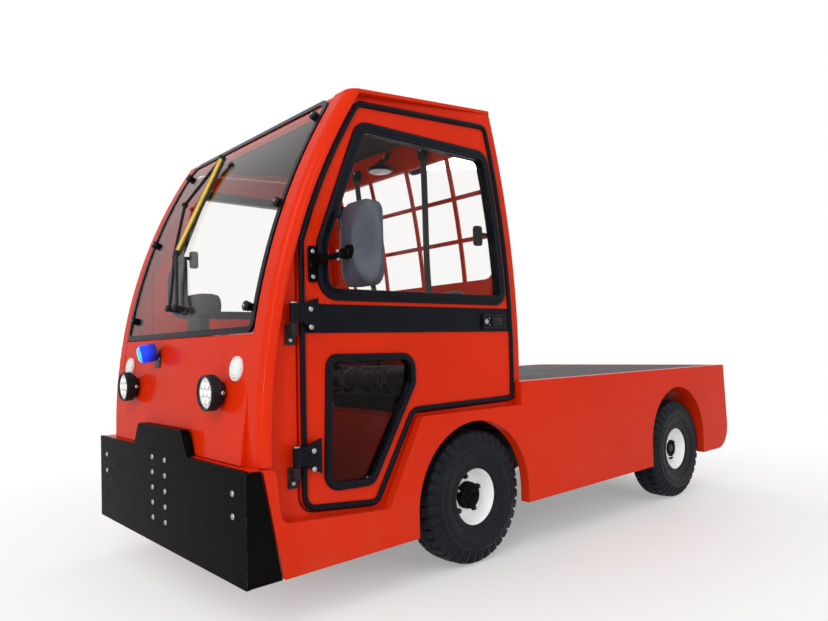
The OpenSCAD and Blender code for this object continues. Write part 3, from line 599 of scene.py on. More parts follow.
def treaded_tyre(corner, x, y, outward):
    """A tyre: its section turned about the axle, then moved along its own normal. Grooves are bands of the turning
    angle whose phase steps by half a pitch from one side to the other and zigzags across the tread, with a shallow
    band at half the pitch on the shoulder; two zigzag grooves run round; rings stand up on the sidewall."""
    half = smooth_line(TYRE_SECTION, 84)
    section = np.vstack([half, (half * [1, -1])[-2::-1]])
    along = unit(np.gradient(section, axis=0))
    normal = np.stack([-along[:, 1], along[:, 0]], -1)
    normal *= np.sign((normal * (section - [MID_SIDEWALL_R, 0])).sum(1))[:, None]
    r, s = section[:, 0, None], section[:, 1, None]
    turn = TURN * np.arange(PITCHES * COLUMNS)[None] / (PITCHES * COLUMNS)
    phase = PITCHES * turn / TURN + 0.5 * (s > 0)
    wave = np.abs(phase % 1.0 - 0.5) * 4 - 1
    lug_phase = (phase + 0.10 * np.sign(s) * smooth_step(np.abs(s), 20, 60)) % 1.0
    lug_gap = 1 - smooth_step(np.abs(lug_phase - 0.5), 0.08, 0.15)
    cross_groove = lug_gap * smooth_step(np.abs(s), 15, 20) * smooth_step(r, 214, 232)
    fine_gap = 1 - smooth_step(np.abs((lug_phase * 2) % 1.0 - 0.5), 0.10, 0.24)
    fine_groove = 0.34 * fine_gap * smooth_step(r, 212, 218) * (1 - smooth_step(r, 252, 258))
    run_groove = 1 - smooth_step(np.abs(np.abs(s) - 21 - 6.5 * wave), 2.6, 5.2)
    run_groove = run_groove * smooth_step(r, 262, 266)
    mid_cut = (1 - smooth_step(np.abs((phase * 2) % 1.0 - 0.5), 0.05, 0.12)) * (np.abs(s) < 14) * 0.45
    mid_cut = mid_cut * smooth_step(r, 266, 268)
    sink = GROOVE_DEPTH * np.max([cross_groove, run_groove + 0 * turn, mid_cut, fine_groove], axis=0)
    move = sum(h * np.exp(-((r - ring_r) / w)**2) for ring_r, w, h in SIDEWALL_RINGS) - sink
    rr, ss = r + normal[:, 0, None] * move, s + normal[:, 1, None] * move
    inner = np.linspace(-52, 52, 6)[:, None] + 0 * turn
    rr = np.vstack([rr, 116 + 0 * inner])
    ss = np.vstack([ss, inner])
    points = at(x + rr * np.sin(turn), y + ss * outward, AXLE_Z + rr * np.cos(turn))
    piece = Piece("tread_" + corner, "wheel_" + corner, "tyre", TYRE_RUBBER)
    piece.grid(points, close_rows=True, close_cols=True)
    piece.make(crease=50, replaces=["tyre_" + corner])


RIM_SECTION = [[0, 36], [40, 36], [51, 34], [53, 30], [54, 9], [60, 5], [84, 2], [93, 6], [100, 20], [104, 38],
               [108, 52], [112, 60], [118, 66], [126, 66], [126, 61], [113, 53], [112.7, -53], [126, -61], [126, -66],
               [118, -66], [104, -60], [100, -20], [92, -7], [60, -8], [0, -8]]


def dished_rim(corner, x, y, outward, front):
    """Deep-dished rim turned about the axle, its hub cover, five wheel nuts on their bolt circle, and the tyre valve
    as a bent stem."""
    centre, axis = at(x, y, AXLE_Z), np.array([0, outward, 0.0])
    rim = Piece("dished_rim_" + corner, "wheel_" + corner, "rim_paint", RIM_WHITE)
    rim.turned(RIM_SECTION, centre, axis, 96)
    rim.make(crease=40, replaces=["rim_" + corner])
    piece = Piece("hub_" + corner, "wheel_" + corner, "rim_paint", BUMPER_BLACK, DARK_STEEL, BOLT_STEEL)
    if front:
        cover = [[0, 9], [55.4, 9], [55.4, 14], [54.6, 30], [52, 36.5], [43, 38], [40, 44], [36, 46.5], [24, 47],
                 [22, 45], [0, 45]]
    else:
        cover = [[0, 30], [47, 30], [47, 37], [44, 38.6], [38, 38.6], [36, 37], [0, 36.6]]
    piece.turned(cover, centre, axis, 56)
    for k in range(5):
        a = TURN * (k + 0.25) / 5
        spot = centre + np.array([math.cos(a), 0, math.sin(a)]) * 75 * MM + axis * 3 * MM
        piece.turned([[0, -1], [12, -1], [12, 1.5], [10, 3], [0, 3]], spot, axis, 20)
        piece.turned([[0, 2.5], [9.5, 2.5], [9.5, 12], [7.6, 14], [0, 14]], spot, axis, 24, sides=6)
        piece.turned([[0, 13], [5, 13], [5, 18], [4, 19.5], [0, 19.5]], spot, axis, 14, 1)
    a = TURN * 0.06
    spoke = np.array([math.cos(a), 0, math.sin(a)])
    stem = smooth_line([centre + spoke * 104 * MM + axis * 34 * MM, centre + spoke * 97 * MM + axis * 44 * MM,
                        centre + spoke * 95 * MM + axis * 60 * MM], 9)
    piece.ring(carried(stem, round_section(4.2, 10), (0, 0, 1)), 2)
    piece.make()


for corner, wheel_x, side in (("fl", 0, 1), ("fr", 0, -1), ("rl", REAR_AXLE_X, 1), ("rr", REAR_AXLE_X, -1)):
    treaded_tyre(corner, wheel_x, WHEEL_Y * side, side)
    dished_rim(corner, wheel_x, WHEEL_Y * side, side, wheel_x == 0)


# Body curves and outlines

SCREEN_R, BACK_R = 2268.0, 3522.0
SCREEN_MID, BACK_MID, COWL_HEAD = (-1289, 545), (3208, 855), (944.34, 940)
DOOR_FRONT_R, DOOR_BACK_R, WINDOW_BACK_R = 2215.0, 3467.0, 3436.0
COWL_LEAN = math.radians(7.74)
COWL_OUT = np.array([math.cos(COWL_LEAN), 0, math.sin(COWL_LEAN)])


def screen_x(r, z):
    """x on a circle of the windscreen's centre."""
    return SCREEN_MID[0] + np.sqrt(r**2 - (np.asarray(z, float) - SCREEN_MID[1])**2)


def back_x(r, z):
    """x on a circle of the cab back's centre."""
    return BACK_MID[0] - np.sqrt(r**2 - (np.asarray(z, float) - BACK_MID[1])**2)


def cowl_x(z):
    """x on the leaning nose panel."""
    return COWL_HEAD[0] + (COWL_HEAD[1] - z) * math.tan(COWL_LEAN)


def on_circle(middle, r, way, y, z, lift):
    """A point over a circle, lifted along its radius, and that radius' direction; way is 1 forward and -1 back."""
    a = math.asin((z - middle[1]) / r)
    out = np.array([way * math.cos(a), 0, math.sin(a)])
    return at(middle[0] + (r + lift) * out[0], y, middle[1] + (r + lift) * out[2]), out


def on_screen(y, z, lift):
    return on_circle(SCREEN_MID, SCREEN_R, 1, y, z, lift)


def along_curve(curve, r, heights):
    return [[float(curve(r, z)), z, 0] for z in heights]


DOOR = [[503, 325, 40], [819, 354, 55], *along_curve(screen_x, DOOR_FRONT_R, range(1248, 1701, 113)),
        [float(screen_x(DOOR_FRONT_R, 1769)), 1769, 50], [float(back_x(DOOR_BACK_R, 1813)), 1813, 40],
        *along_curve(back_x, DOOR_BACK_R, range(1690, 779, -130)), [float(back_x(DOOR_BACK_R, 646)), 646, 12],
        [319, 638, 40]]
WINDOW = [[float(back_x(WINDOW_BACK_R, 1050)), 1050, 60], [739, 1050, 80],
          [float(screen_x(DOOR_FRONT_R, 1250)) - 72, 1250, 60], [float(screen_x(DOOR_FRONT_R, 1698)) - 46, 1698, 70],
          [float(back_x(WINDOW_BACK_R, 1698)), 1698, 70], *along_curve(back_x, WINDOW_BACK_R, range(1540, 1179, -120))]
LOW_WINDOW = [[520, 397, 50], [730, 403, 60], [712, 866, 45], [310, 861, 60], [310, 745, 40]]
HINGE_Z = (973, 507)
HANDLE_Y, HANDLE_Z, HEAD_LAMP_Z, MARKER_Z, WIPER_PIVOT_Z = 677, 980, 746, 826, 1056


def strip(piece, corners, inwards, half_w, half_t, y, side, finish=0, power=2.4):
    """A rounded rubber strip: an outline moved inwards, with an oblong section carried round it."""
    loop = shrunk(evened(rounded(corners), 11.0), inwards)
    piece.grid(looped(at(loop[:, 0], y * side, loop[:, 1]), oblong_section(half_w, half_t, 16, power), (0, side, 0)),
               close_rows=True, close_cols=True, finish=finish)


# Doors

def door_rubbers(name, side):
    """Bulb seal round the door, the strips round both windows with their inner lips, and the handle in its tray."""
    body = "door_" + name + "_body"
    seal = Piece("door_seals_" + name, body, "seal_rubber", SEAL_RUBBER)
    strip(seal, DOOR, 9.5, 10.5, 7.5, 669, side)
    strip(seal, WINDOW, 20, 21, 10, 668, side, power=2.9)
    strip(seal, WINDOW, 36, 5, 5, 674, side)
    strip(seal, LOW_WINDOW, 12, 12.6, 9.5, 668, side, power=2.9)
    strip(seal, LOW_WINDOW, 21, 3.4, 3.4, 674, side)
    seal.make()
    handle = Piece("door_handle_" + name, body, "black_plastic", BLACK_PLASTIC, BOLT_STEEL, SEAL_RUBBER)
    tray = [[-198, 952, 12], [-71, 952, 12], [-71, 1008, 12], [-198, 1008, 12]]
    strip(handle, tray, 2, 4, 4, HANDLE_Y, side)
    handle.block(at(-153, HANDLE_Y * side, HANDLE_Z), (33, 7, 21), 5.0)
    handle.block(at(-146, (HANDLE_Y + 4) * side, HANDLE_Z), (19, 6, 15), 4.0)
    for z in (966, 994):
        handle.turned([[0, 0], [3, 0], [3, 1.5], [0, 2.4]], at(-105, HANDLE_Y * side, z), (0, side, 0), 12, 1)
    lock = [[0, 0], [11, 0], [11, 3], [9, 4.5], [7, 4.5], [6, 3], [0, 3]]
    handle.turned(lock, at(-87, HANDLE_Y * side, HANDLE_Z), (0, side, 0), 24, 1)
    handle.make()


def door_hinge_bolts(name, side):
    """Button bolts through the door leaves of both hinges, and one through each fixed tab."""
    leaf = Piece("hinge_leaf_bolts_" + name, "door_" + name + "_body", "black_steel", BOLT_STEEL)
    tab = Piece("hinge_tab_bolts_" + name, "chassis", "black_steel", BOLT_STEEL)
    for z in HINGE_Z:
        for dz in (44, -16):
            button_bolt(leaf, at(785, 694 * side, z + dz), (0, side, 0), 9.5, 5.5)
        button_bolt(tab, at(846, 663 * side, z - 67 + 10), (0, side, 0), 8.0, 4.5)
        tab.turned([[0, 0], [12.6, 0], [12.6, 3], [10, 5], [0, 5]], at(850, 690 * side, z + 62), (0, 0, 1), 20)
    leaf.make()
    tab.make()


def window_latches(name, side):
    """T-shaped latches of the sliding window: a rounded grip and its stem."""
    piece = Piece("window_latches_" + name, "door_" + name + "_body", "black_plastic", BLACK_PLASTIC)
    for x, reach in ((-92, -42), (600, 56)):
        piece.block(at(x, 636 * side, 1344), (20, 12, 42), 6.0)
        stem = np.linspace(at(x, 638 * side, 1350), at(x + reach, 642 * side, 1350), 5)
        piece.ring(carried(stem, oblong_section(13, 8, 14), (0, 0, 1)))
    piece.make()


# Door mirrors

MIRROR_X, MIRROR_Y, MIRROR_Z = 614, 780, 1233
MIRROR_HALF_W, MIRROR_HALF_H, MIRROR_ROUND = 88, 143, 46


def mirror_shell(side):
    """Front of the housing: a rounded oblong shrunk to its middle; its depth is the lesser of a dome and of a
    slope that falls to the outer edge, so that the two meet in a crease, times a curve that rounds the rim."""
    corners = [[i * MIRROR_HALF_W, j * MIRROR_HALF_H, MIRROR_ROUND] for i, j in ((-1, -1), (1, -1), (1, 1), (-1, 1))]
    loop = evened(rounded(corners), 9.0)
    shrink = 1 - np.linspace(0, 1, 26)[:, None]**1.6
    across, height = shrink * loop[None, :, 0], shrink * loop[None, :, 1]
    dome = 62 - 5 * (across / MIRROR_HALF_W)**2 - 9 * (height / MIRROR_HALF_H)**2
    slope = 46 + (24 - across) * 0.60 + 30 * (height / MIRROR_HALF_H)**2
    depth = np.minimum(dome, slope) * (1 - shrink**9 * 0.34)
    return at(MIRROR_X + depth, (MIRROR_Y + across) * side, MIRROR_Z + height), loop


def door_mirror(name, side):
    """Mirror on its bent arm: housing shell with a rim, the silvered pane set into its back, clamps and a plate."""
    piece = Piece("mirror_dressed_" + name, "door_" + name + "_body", "black_plastic", MIRROR_GREY, MIRROR,
                  BUMPER_BLACK, BOLT_STEEL)
    front, loop = mirror_shell(side)
    piece.ring(front)
    rows = ((0, 1.0), (-4, 0.99), (-4, 0.945), (1, 0.94), (1, 0.93), (1, 0.0))
    back = np.stack([at(MIRROR_X + d, (MIRROR_Y + loop[:, 0] * k) * side, MIRROR_Z + loop[:, 1] * k) for d, k in rows])
    back[0] = front[0]
    piece.ring(back[:5])
    piece.ring(back[4:], 1)
    arm = smooth_line([at(760, 668 * side, 1170), at(760, 715 * side, 1174), at(757, 736 * side, 1181),
                       at(720, 748 * side, 1190), at(652, 772 * side, 1207)], 40)
    piece.ring(carried(arm, round_section(10, 16), (0, 0, 1)), 2)
    piece.block(at(759, 670 * side, 1170), (17, 5, 62), 7.0, finish=2)
    for x, y, z, half in ((760, 735, 1180, (16, 15, 20)), (690, 759, 1199, (22, 14, 17)),
                          (672, 764, 1206, (14, 22, 24))):
        piece.block(at(x, y * side, z), half, 3.4, finish=2)
    for z in (1212, 1127):
        button_bolt(piece, at(760, 675 * side, z), (0, side, 0), 8.5, 5.0, 3)
    for dz in (-13, 13):
        button_bolt(piece, at(712, 751 * side, 1194 + dz), (0.6, 0.8 * side, 0), 6.0, 4.0, 3)
    piece.make(crease=26, replaces=["mirror_" + name])


for name, side in SIDES:
    door_rubbers(name, side)
    door_hinge_bolts(name, side)
    window_latches(name, side)
    door_mirror(name, side)


# Lamps

def led_cell(piece, centre, axis, radius, height, finish, rim):
    """One lamp cell: a low dome in a thin raised ring."""
    a = np.linspace(0, math.pi / 2, 6)
    piece.turned(np.stack([radius * np.cos(a), 0.6 + height * np.sin(a)], -1), centre, axis, 24, finish)
    ring = [[radius - 0.4, 0], [radius - 0.4, 1.6], [radius + 1.6, 1.6], [radius + 1.6, 0]]
    piece.turned(ring, centre, axis, 24, rim)


def lamp_face(name, centre, axis):
    """Round lamp: a bright face with one cell in its middle and six round it, a rolled bezel and cooling ribs on
    the barrel; the pattern is turned about the lamp's axis."""
    piece = Piece(name, "chassis", "lamp_black", LAMP_BLACK, REFLECTOR, LED_LENS, BOLT_STEEL)
    face = [[0, -0.4], [54.6, -0.4], [54.6, 0.3], [50, 0.4], [47, 1.4], [44, 0.6], [0, 0.6]]
    bezel = [[54.2, -1], [54.2, 4.6], [56, 6.2], [59, 6.4], [61.2, 5], [61.6, 2], [61.6, -7], [60, -7]]
    piece.turned(face, centre, axis, 64, 1)
    piece.turned(bezel, centre, axis, 64)
    for d in (-14, -21, -28):
        piece.turned([[59, d], [62.2, d + 0.6], [62.2, d + 3], [59, d + 3.6]], centre, axis, 64)
    side, up = square_to(axis)
    led_cell(piece, centre + unit(axis) * 0.5 * MM, axis, 12, 4, 2, 1)
    for k in range(6):
        a = TURN * k / 6
        spot = centre + (math.cos(a) * side + math.sin(a) * up) * 30 * MM + unit(axis) * 0.5 * MM
        led_cell(piece, spot, axis, 12, 4, 2, 1)
    for turn_to in (side, -side):
        spot = centre + turn_to * 60 * MM - unit(axis) * 34 * MM
        button_bolt(piece, spot, turn_to, 8, 5, 3)
    piece.make()


for name, side in SIDES:
    lamp_face("head_lamp_" + name, at(cowl_x(HEAD_LAMP_Z) + 55, 407 * side, HEAD_LAMP_Z), (1, 0, 0))
lamp_face("rear_lamp_face", *on_circle(BACK_MID, BACK_R, -1, 100, 1790, 55))


def marker_lamps():
    """Round marker lamps: a pale bezel, a low white dome and three rings of small lamp dots turned about it."""
    piece = Piece("marker_lamps_dressed", "chassis", "white_lens", WHITE_PLASTIC, CLEAR_LENS, LED_LENS, BOLT_STEEL)
    side, up = square_to(COWL_OUT)
    bezel = [[0, 0], [42, 0], [42, 6], [40.5, 8.4], [38, 9], [36, 8], [35.6, 5], [0, 5]]
    for y in (-509, 509):
        centre = at(cowl_x(MARKER_Z), y, MARKER_Z)
        piece.turned(bezel, centre, COWL_OUT, 56)
        a = np.linspace(0, math.pi / 2, 9)
        dome = np.stack([35.4 * np.cos(a), 6 + 10 * np.sin(a)], -1)
        piece.turned(np.vstack([[0, 5.2], [35.4, 5.2], dome]), centre, COWL_OUT, 56, 1)
        for ring_r, count in ((9, 6), (19, 12), (28, 18)):
            lift = 6 + 10 * math.sqrt(1 - (ring_r / 35.4)**2) - 1.0
            turn = TURN * np.arange(count) / count
            for spoke in np.cos(turn)[:, None] * side + np.sin(turn)[:, None] * up:
                spot = centre + spoke * ring_r * MM + COWL_OUT * lift * MM
                piece.turned([[0, 0], [2.9, 0], [2.5, 1.6], [0, 2.4]], spot, COWL_OUT, 10, 2)
        for turn_to in (side, -side):
            button_bolt(piece, centre + turn_to * 39 * MM + COWL_OUT * 8.6 * MM, COWL_OUT, 2.6, 1.6, 3)
    piece.make(replaces=["marker_lamps"])


def blue_lamp():
    """Spot lamp: a glowing lens dome, a rolled bezel and ribs turned about the barrel."""
    rear, front = at(966, -186, 893), at(1022, -201, 881)
    axis = unit(front - rear)
    piece = Piece("blue_lamp_dressed", "chassis", "blue_lamp", BLUE_BARREL_PAINTED_GLOW, BLUE_LENS, BOLT_STEEL)
    piece.turned([[0, 0.2], [32, 0.2], [32, 5], [29.5, 9.5], [24, 13], [14, 15.4], [0, 16]], front, axis, 48, 1)
    piece.turned([[32, 0], [32, 2], [34, 3.4], [36, 3.4], [38, 2], [38, -6], [36, -7]], front, axis, 48)
    for d in (-16, -25, -34, -43):
        piece.turned([[35, d], [39.4, d + 0.6], [39.4, d + 4], [35, d + 4.6]], front, axis, 48)
    for y in (-205, -175):
        button_bolt(piece, at(cowl_x(862) + 5.0, y, 862), COWL_OUT, 5.5, 3.6, 2)
    piece.make()


def tail_lamps():
    """Tail lamps that lean with the tail: a rounded base, a red, an amber and a white lens as rounded blocks, and a
    red reflector disc beside each."""
    piece = Piece("tail_lamps_dressed", "chassis", "red_lens", LAMP_BLACK, RED_LENS, AMBER_LENS, CLEAR_LENS)
    axes = tipped(math.atan(25 / 344))
    for side in (-1, 1):
        base = at(-2216, 560 * side, 600)
        piece.block(base - axes[0] * 11 * MM, (11.5, 70, 36), 9.0, axes, 25, 48)
        for finish, across in ((1, -46), (3, 0), (2, 46)):
            spot = base - axes[0] * 20 * MM + axes[1] * across * side * MM
            piece.block(spot, (6.5, 21, 31), 7.0, axes, 25, 48, finish=finish)
        disc = at(-2216 + 0.4, 420 * side, 600)
        piece.turned([[0, 0], [34, 0], [34, 5], [31, 7], [29, 6], [0, 7.5]], disc, -axes[0], 40, 1)
    piece.make(replaces=["tail_lamps"])


marker_lamps()
blue_lamp()
tail_lamps()


# Front and tail fittings

def bumper_bolts():
    """Button bolts: two at each end, and a column of five on each side of the middle."""
    piece = Piece("bumper_bolts", "chassis", "black_steel", BOLT_STEEL)
    for side in (-1, 1):
        for y, z in [(610, 440), (610, 369), *((62, z) for z in (485, 427, 369, 311, 254))]:
            button_bolt(piece, at(1035.5, y * side, z), (1, 0, 0), 10.5, 6.0)
    piece.make()


def screen_fixings():
    """Domed caps over the six windscreen fixings, each with a small screw."""
    piece = Piece("screen_fixing_caps", "chassis", "seal_rubber", BLACK_PLASTIC, BOLT_STEEL)
    for y, z in ((537, 1032), (558, 1389), (545, 1724)):
        for side in (-1, 1):
            place, out = on_screen(y * side, z, 13.8)
            piece.turned([[0, -3], [17.4, -3], [17.6, 2], [15, 5.4], [9, 7.4], [0, 7.6]], place, out, 32)
            button_bolt(piece, place + out * 7.2 * MM, out, 5.0, 2.6, 1)
    piece.make()


def wiper_sleeve():
    """Plated sleeve over the wiper's long rod, with a collar at each end and domed nuts on both pivots."""
    piece = Piece("wiper_sleeve", "chassis", "black_plastic", GOLD_SLEEVE, BLACK_PLASTIC)
    low, high = on_screen(-186, 1283, 26)[0], on_screen(-166, 1727, 26)[0]
    piece.ring(carried(np.linspace(low * 0.96 + high * 0.04, high, 12), round_section(11.6, 20), (0, 1, 0)))
    for end in (0.03, 0.99):
        middle = low * (1 - end) + high * end
        step = (high - low) * 0.018
        piece.ring(carried(np.linspace(middle - step, middle + step, 4), round_section(13.5, 20), (0, 1, 0)), 1)
    for y in (-88, -15):
        place, out = on_screen(y, WIPER_PIVOT_Z, 32)
        piece.turned([[0, 0], [14.5, 0], [14.5, 6], [10, 11], [0, 12]], place, out, 24, 1)
        arm = np.linspace(on_screen(y, WIPER_PIVOT_Z, 28)[0], on_screen(-186 + (y + 52) / 4, 1283, 26)[0], 10)
        piece.ring(carried(arm, oblong_section(9, 5.5, 16), out), 1)
    bow = on_screen(-345, 1540, 20)[0]
    for start, end in ((on_screen(-202, 1285, 26)[0], bow), (bow, on_screen(-170, 1721, 25)[0])):
        piece.ring(carried(np.linspace(start, end, 10), oblong_section(7, 5.2, 14, 2.6), (0, 1, 0)), 1)
    blade = np.linspace(on_screen(-170, 1290, 18)[0], on_screen(-147, 1722, 18)[0], 12)
    piece.ring(carried(blade, oblong_section(4, 11, 16, 3.0), (0, 1, 0)), 1)
    piece.make()


def hitch_bolts():
    """Four hexagon bolts that hold the tow jaw's plate."""
    piece = Piece("hitch_bolts", "chassis", "chassis_steel", BOLT_STEEL)
    for y in (-74, 74):
        for z in (442, 518):
            hex_bolt(piece, at(-2246, y, z), (-1, 0, 0))
    piece.make()


def deck_tabs():
    """Small painted tabs with a bolt at the deck's front corners."""
    piece = Piece("deck_tabs", "chassis", "body_paint", ORANGE)
    for side in (-1, 1):
        piece.block(at(-290, 700 * side, 698), (18, 3.4, 15), 8.0)
        button_bolt(piece, at(-290, 703 * side, 698), (0, side, 0), 7.0, 4.0)
    piece.make()


bumper_bolts()
screen_fixings()
wiper_sleeve()
hitch_bolts()
deck_tabs()


# Inside the cab

def roof_lining():
    """Felt under the roof, its dark purple-brown a painted shade of the cab's roof inside: a thin rounded slab tilted
    with the roof.
    """
    axes = tipped(math.atan(0.1086))
    piece = Piece("roof_lining", "chassis", "seat_fabric", LINING_PAINTED_SHADE)
    piece.block(at(212, 0, 1821), (318, 600, 5), 14.0, axes, 33, 64)
    piece.make()


def floor_mat():
    """Rubber mat on the low floor, with raised ribs: a slab whose top is lifted by a band of cosines across it."""
    x, y = np.meshgrid(np.linspace(506, 800, 12), np.linspace(-600, 600, 241), indexing="ij")
    edge = smooth_step(np.minimum(np.minimum(x - 506, 800 - x), 600 - np.abs(y)), 0, 8)
    top = 331 + edge * (4.5 + 1.5 * smooth_step(np.cos(TURN * y / 24), -0.2, 0.4))
    piece = Piece("cab_floor_mat", "chassis", "black_plastic", FLOOR_MAT)
    piece.grid(at(x, y, top)).grid(at(x, y, 330.4 + 0 * top))
    piece.make()


def dash_dressed():
    """Dash across the cab: a rounded profile carried from side to side and closed at its ends, and on it a rounded
    instrument pod on a neck."""
    piece = Piece("dash_dressed", "chassis", "black_plastic", GREY_PLASTIC, BLACK_PLASTIC)
    profile = rounded([[881.5, 790, 8], [881.5, 948, 8], [800, 967, 14], [742, 939, 16], [742, 870, 20],
                       [800, 801, 20]], 7)
    middle = profile.mean(0)
    size = np.array([0, 1, 1, 0])[:, None]
    across = np.array([-614, -614, 614, 614])[:, None]
    piece.ring(at(middle[0] + size * (profile[None, :, 0] - middle[0]), across,
                  middle[1] + size * (profile[None, :, 1] - middle[1])))
    piece.block(at(834, -54, 1070), (44, 112, 50), 4.5)
    piece.block(at(840, -54, 1000), (30, 60, 48), 4.0, finish=1)
    piece.block(at(868, -110, 1071), (14, 46, 40), 5.0, finish=1)
    piece.make(replaces=["dashboard"])


def dash_fittings():
    """Gauge with its rolled bezel, a row of rocker switches, and the brake lever with its grip."""
    piece = Piece("dash_fittings", "chassis", "black_plastic", BLACK_PLASTIC, BOLT_STEEL, CLEAR_LENS, RED_LENS)
    back = np.array([-1.0, 0, 0])
    piece.turned([[0, 0], [46, 0], [46, 7], [43, 9], [39, 8], [38, 3], [0, 3]], at(791, -6, 1070), back, 48)
    piece.turned([[0, 3.2], [37.6, 3.2], [37, 4.4], [0, 4.6]], at(791, -6, 1070), back, 48, 2)
    for k in range(3):
        piece.block(at(791, -142 + 34 * k, 1070), (5, 13, 20), 5.0, finish=3 if k == 0 else 0)
    lever = smooth_line([at(170, 0, 626), at(176, 0, 700), at(196, 0, 790), at(232, 0, 860)], 30)
    piece.ring(carried(lever, round_section(8, 14), (0, 1, 0)), 1)
    grip = smooth_line([at(196, 0, 790), at(214, 0, 828), at(240, 0, 874)], 16)
    piece.ring(carried(grip, oblong_section(14, 16, 16, 2.6), (0, 1, 0)))
    piece.make()


def seat_belts():
    """Belts: a flat strap carried from the reel over the shoulder and down the seat to its buckle."""
    for name, side in SIDES:
        piece = Piece("seat_belt_" + name, "chassis", "seat_fabric", BELT, BLACK_PLASTIC, BOLT_STEEL)
        strap = smooth_line([at(-138, 262 * side, 1790), at(-152, 250 * side, 1600), at(-180, 222 * side, 1300),
                             at(-204, 204 * side, 1120), at(-204, 202 * side, 900), at(-200, 200 * side, 720)], 60)
        piece.ring(carried(strap, oblong_section(1.6, 21, 16), (0, 1, 0)))
        piece.block(at(-138, 258 * side, 1792), (17, 24, 30), 5.0, finish=1)
        button_bolt(piece, at(-122, 258 * side, 1806), (1, 0, 0), 8, 5, 2)
        piece.block(at(-180, 202 * side, 716), (24, 26, 24), 5.0, finish=1)
        piece.make()


def cab_lamp():
    """Round cab lamp under the roof's rear end: a turned dish with a ribbed rim, on a bracket from the roof."""
    piece = Piece("cab_lamp", "chassis", "lamp_black", LAMP_BLACK, CLEAR_LENS, BOLT_STEEL)
    dish = [[0, 24], [26, 24], [34, 18], [58, 6], [63, 2], [64, -6], [61, -10], [56, -12], [0, -12]]
    place = at(-78, 12, 1762)
    piece.turned(dish, place, (0, 0, 1), 48)
    piece.turned([[0, -12.2], [54, -12.2], [50, -16], [28, -19], [0, -20]], place, (0, 0, 1), 48, 1)
    bracket = smooth_line([at(-78, 12, 1784), at(-80, 30, 1800), at(-84, 62, 1812), at(-86, 80, 1838)], 16)
    piece.ring(carried(bracket, oblong_section(9, 14, 16), (1, 0, 0)))
    button_bolt(piece, at(-64, 60, 1808), (1, 0, 0), 7, 4, 2)
    piece.make()


roof_lining()
floor_mat()
dash_dressed()
dash_fittings()
seat_belts()
cab_lamp()


# Seats

def points_of(mesh):
    flat = np.empty(len(mesh.vertices) * 3)
    mesh.vertices.foreach_get("co", flat)
    return flat.reshape(-1, 3)


def settled(obj):
    """The object's mesh with its modifiers applied."""
    return bpy.data.meshes.new_from_object(obj.evaluated_get(bpy.context.evaluated_depsgraph_get()))


def blown_pads(starts, voxel=0.006, most=0.024):
    """Pads blown up as cloth: each block is remeshed in voxels, its resting face is held, pressure swells the rest
    for twenty frames, and no point moves further than the cap."""
    scene = bpy.context.scene
    made = []
    for name, points, held in starts:
        quads = grid_quads(*points.shape[:2], False, True)
        block = placed(name, closed_mesh("pad_start", points.reshape(-1, 3), quads))
        remesh = block.modifiers.new("voxels", "REMESH")
        remesh.mode, remesh.voxel_size = "VOXEL", voxel
        mesh = settled(block)
        bpy.data.objects.remove(block)
        pad = placed(name, mesh)
        made.append((pad, points_of(mesh)))
        group = pad.vertex_groups.new(name="held")
        group.add(np.flatnonzero(held(points_of(mesh))).tolist(), 1.0, "REPLACE")
        cloth = pad.modifiers.new("cloth", "CLOTH")
        cloth.settings.vertex_group_mass = "held"
        cloth.settings.use_pressure = True
        cloth.settings.uniform_pressure_force = 4.0
        cloth.settings.quality = 4
        cloth.settings.effector_weights.gravity = 0.0
        cloth.collision_settings.use_collision = False
    for step in range(1, 21):
        scene.frame_set(step)
    pads = []
    for pad, before in made:
        after = points_of(settled(pad))
        move = after - before
        far = np.linalg.norm(move, axis=1)[:, None]
        after = before + move * np.minimum(1, most / np.maximum(far, 1e-9))
        pad.modifiers.clear()
        pads.append((pad, after))
    scene.frame_set(1)
    return pads


def sewn(points, normals, lines):
    """Points drawn in along their normals by a bell curve of their distance from each sewn line: a value of one
    coordinate, with the depth and width of the seam in millimetres."""
    depth = sum(d * MM * np.exp(-((points[:, axis] - place) / (w * MM))**2) for axis, place, d, w in lines)
    return points - normals * depth[:, None]


def normals_of(mesh):
    flat = np.empty(len(mesh.vertices) * 3)
    mesh.vertex_normals.foreach_get("vector", flat)
    return flat.reshape(-1, 3)


def seat_pads():
    """Cushion and back of the left seat, blown up and sewn in channels, and their copies mirrored to the right."""
    lean = math.atan(37 / 368)
    cushion = pillow(at(102, 310, 740), (184, 224, 38), 6.0, tipped(-math.atan(23 / 400)), 25, 48)
    back = pillow(at(-126, 310, 966), (30, 214, 172), 6.0, tipped(-lean), 25, 48)
    rest_z, rest_x = 0.704, (FRONT_AXLE_X - 152) * MM
    pads = blown_pads([("seat_cushion_left", cushion, lambda p: p[:, 2] < rest_z),
                       ("seat_back_left", back, lambda p: p[:, 0] + (p[:, 2] - 0.966) * math.tan(lean) < rest_x)])
    channels = [(1, y, 6, 7) for y in (0.19, 0.43)]
    lines = {"seat_cushion_left": channels + [(0, (FRONT_AXLE_X + 20) * MM, 4, 7)],
             "seat_back_left": channels + [(2, 1.06, 4, 7)]}
    for pad, points in pads:
        mesh = pad.data
        mesh.vertices.foreach_set("co", points.ravel())
        mesh.update()
        mesh.vertices.foreach_set("co", sewn(points, normals_of(mesh), lines[pad.name]).ravel())
        mesh.update()
        right = mesh.copy()
        right.vertices.foreach_set("co", (points_of(mesh) * [1, -1, 1]).ravel())
        right.flip_normals()
        twin = placed(pad.name.replace("left", "right"), right)
        for obj in (pad, twin):
            obj.data.materials.clear()
            obj.data.materials.append(SEAT_CLOTH)
            smoothed(obj.data)
            smooth = obj.modifiers.new("smooth", "SUBSURF")
            smooth.levels = smooth.render_levels = 1
            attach(obj, "chassis")
            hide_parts("seats")


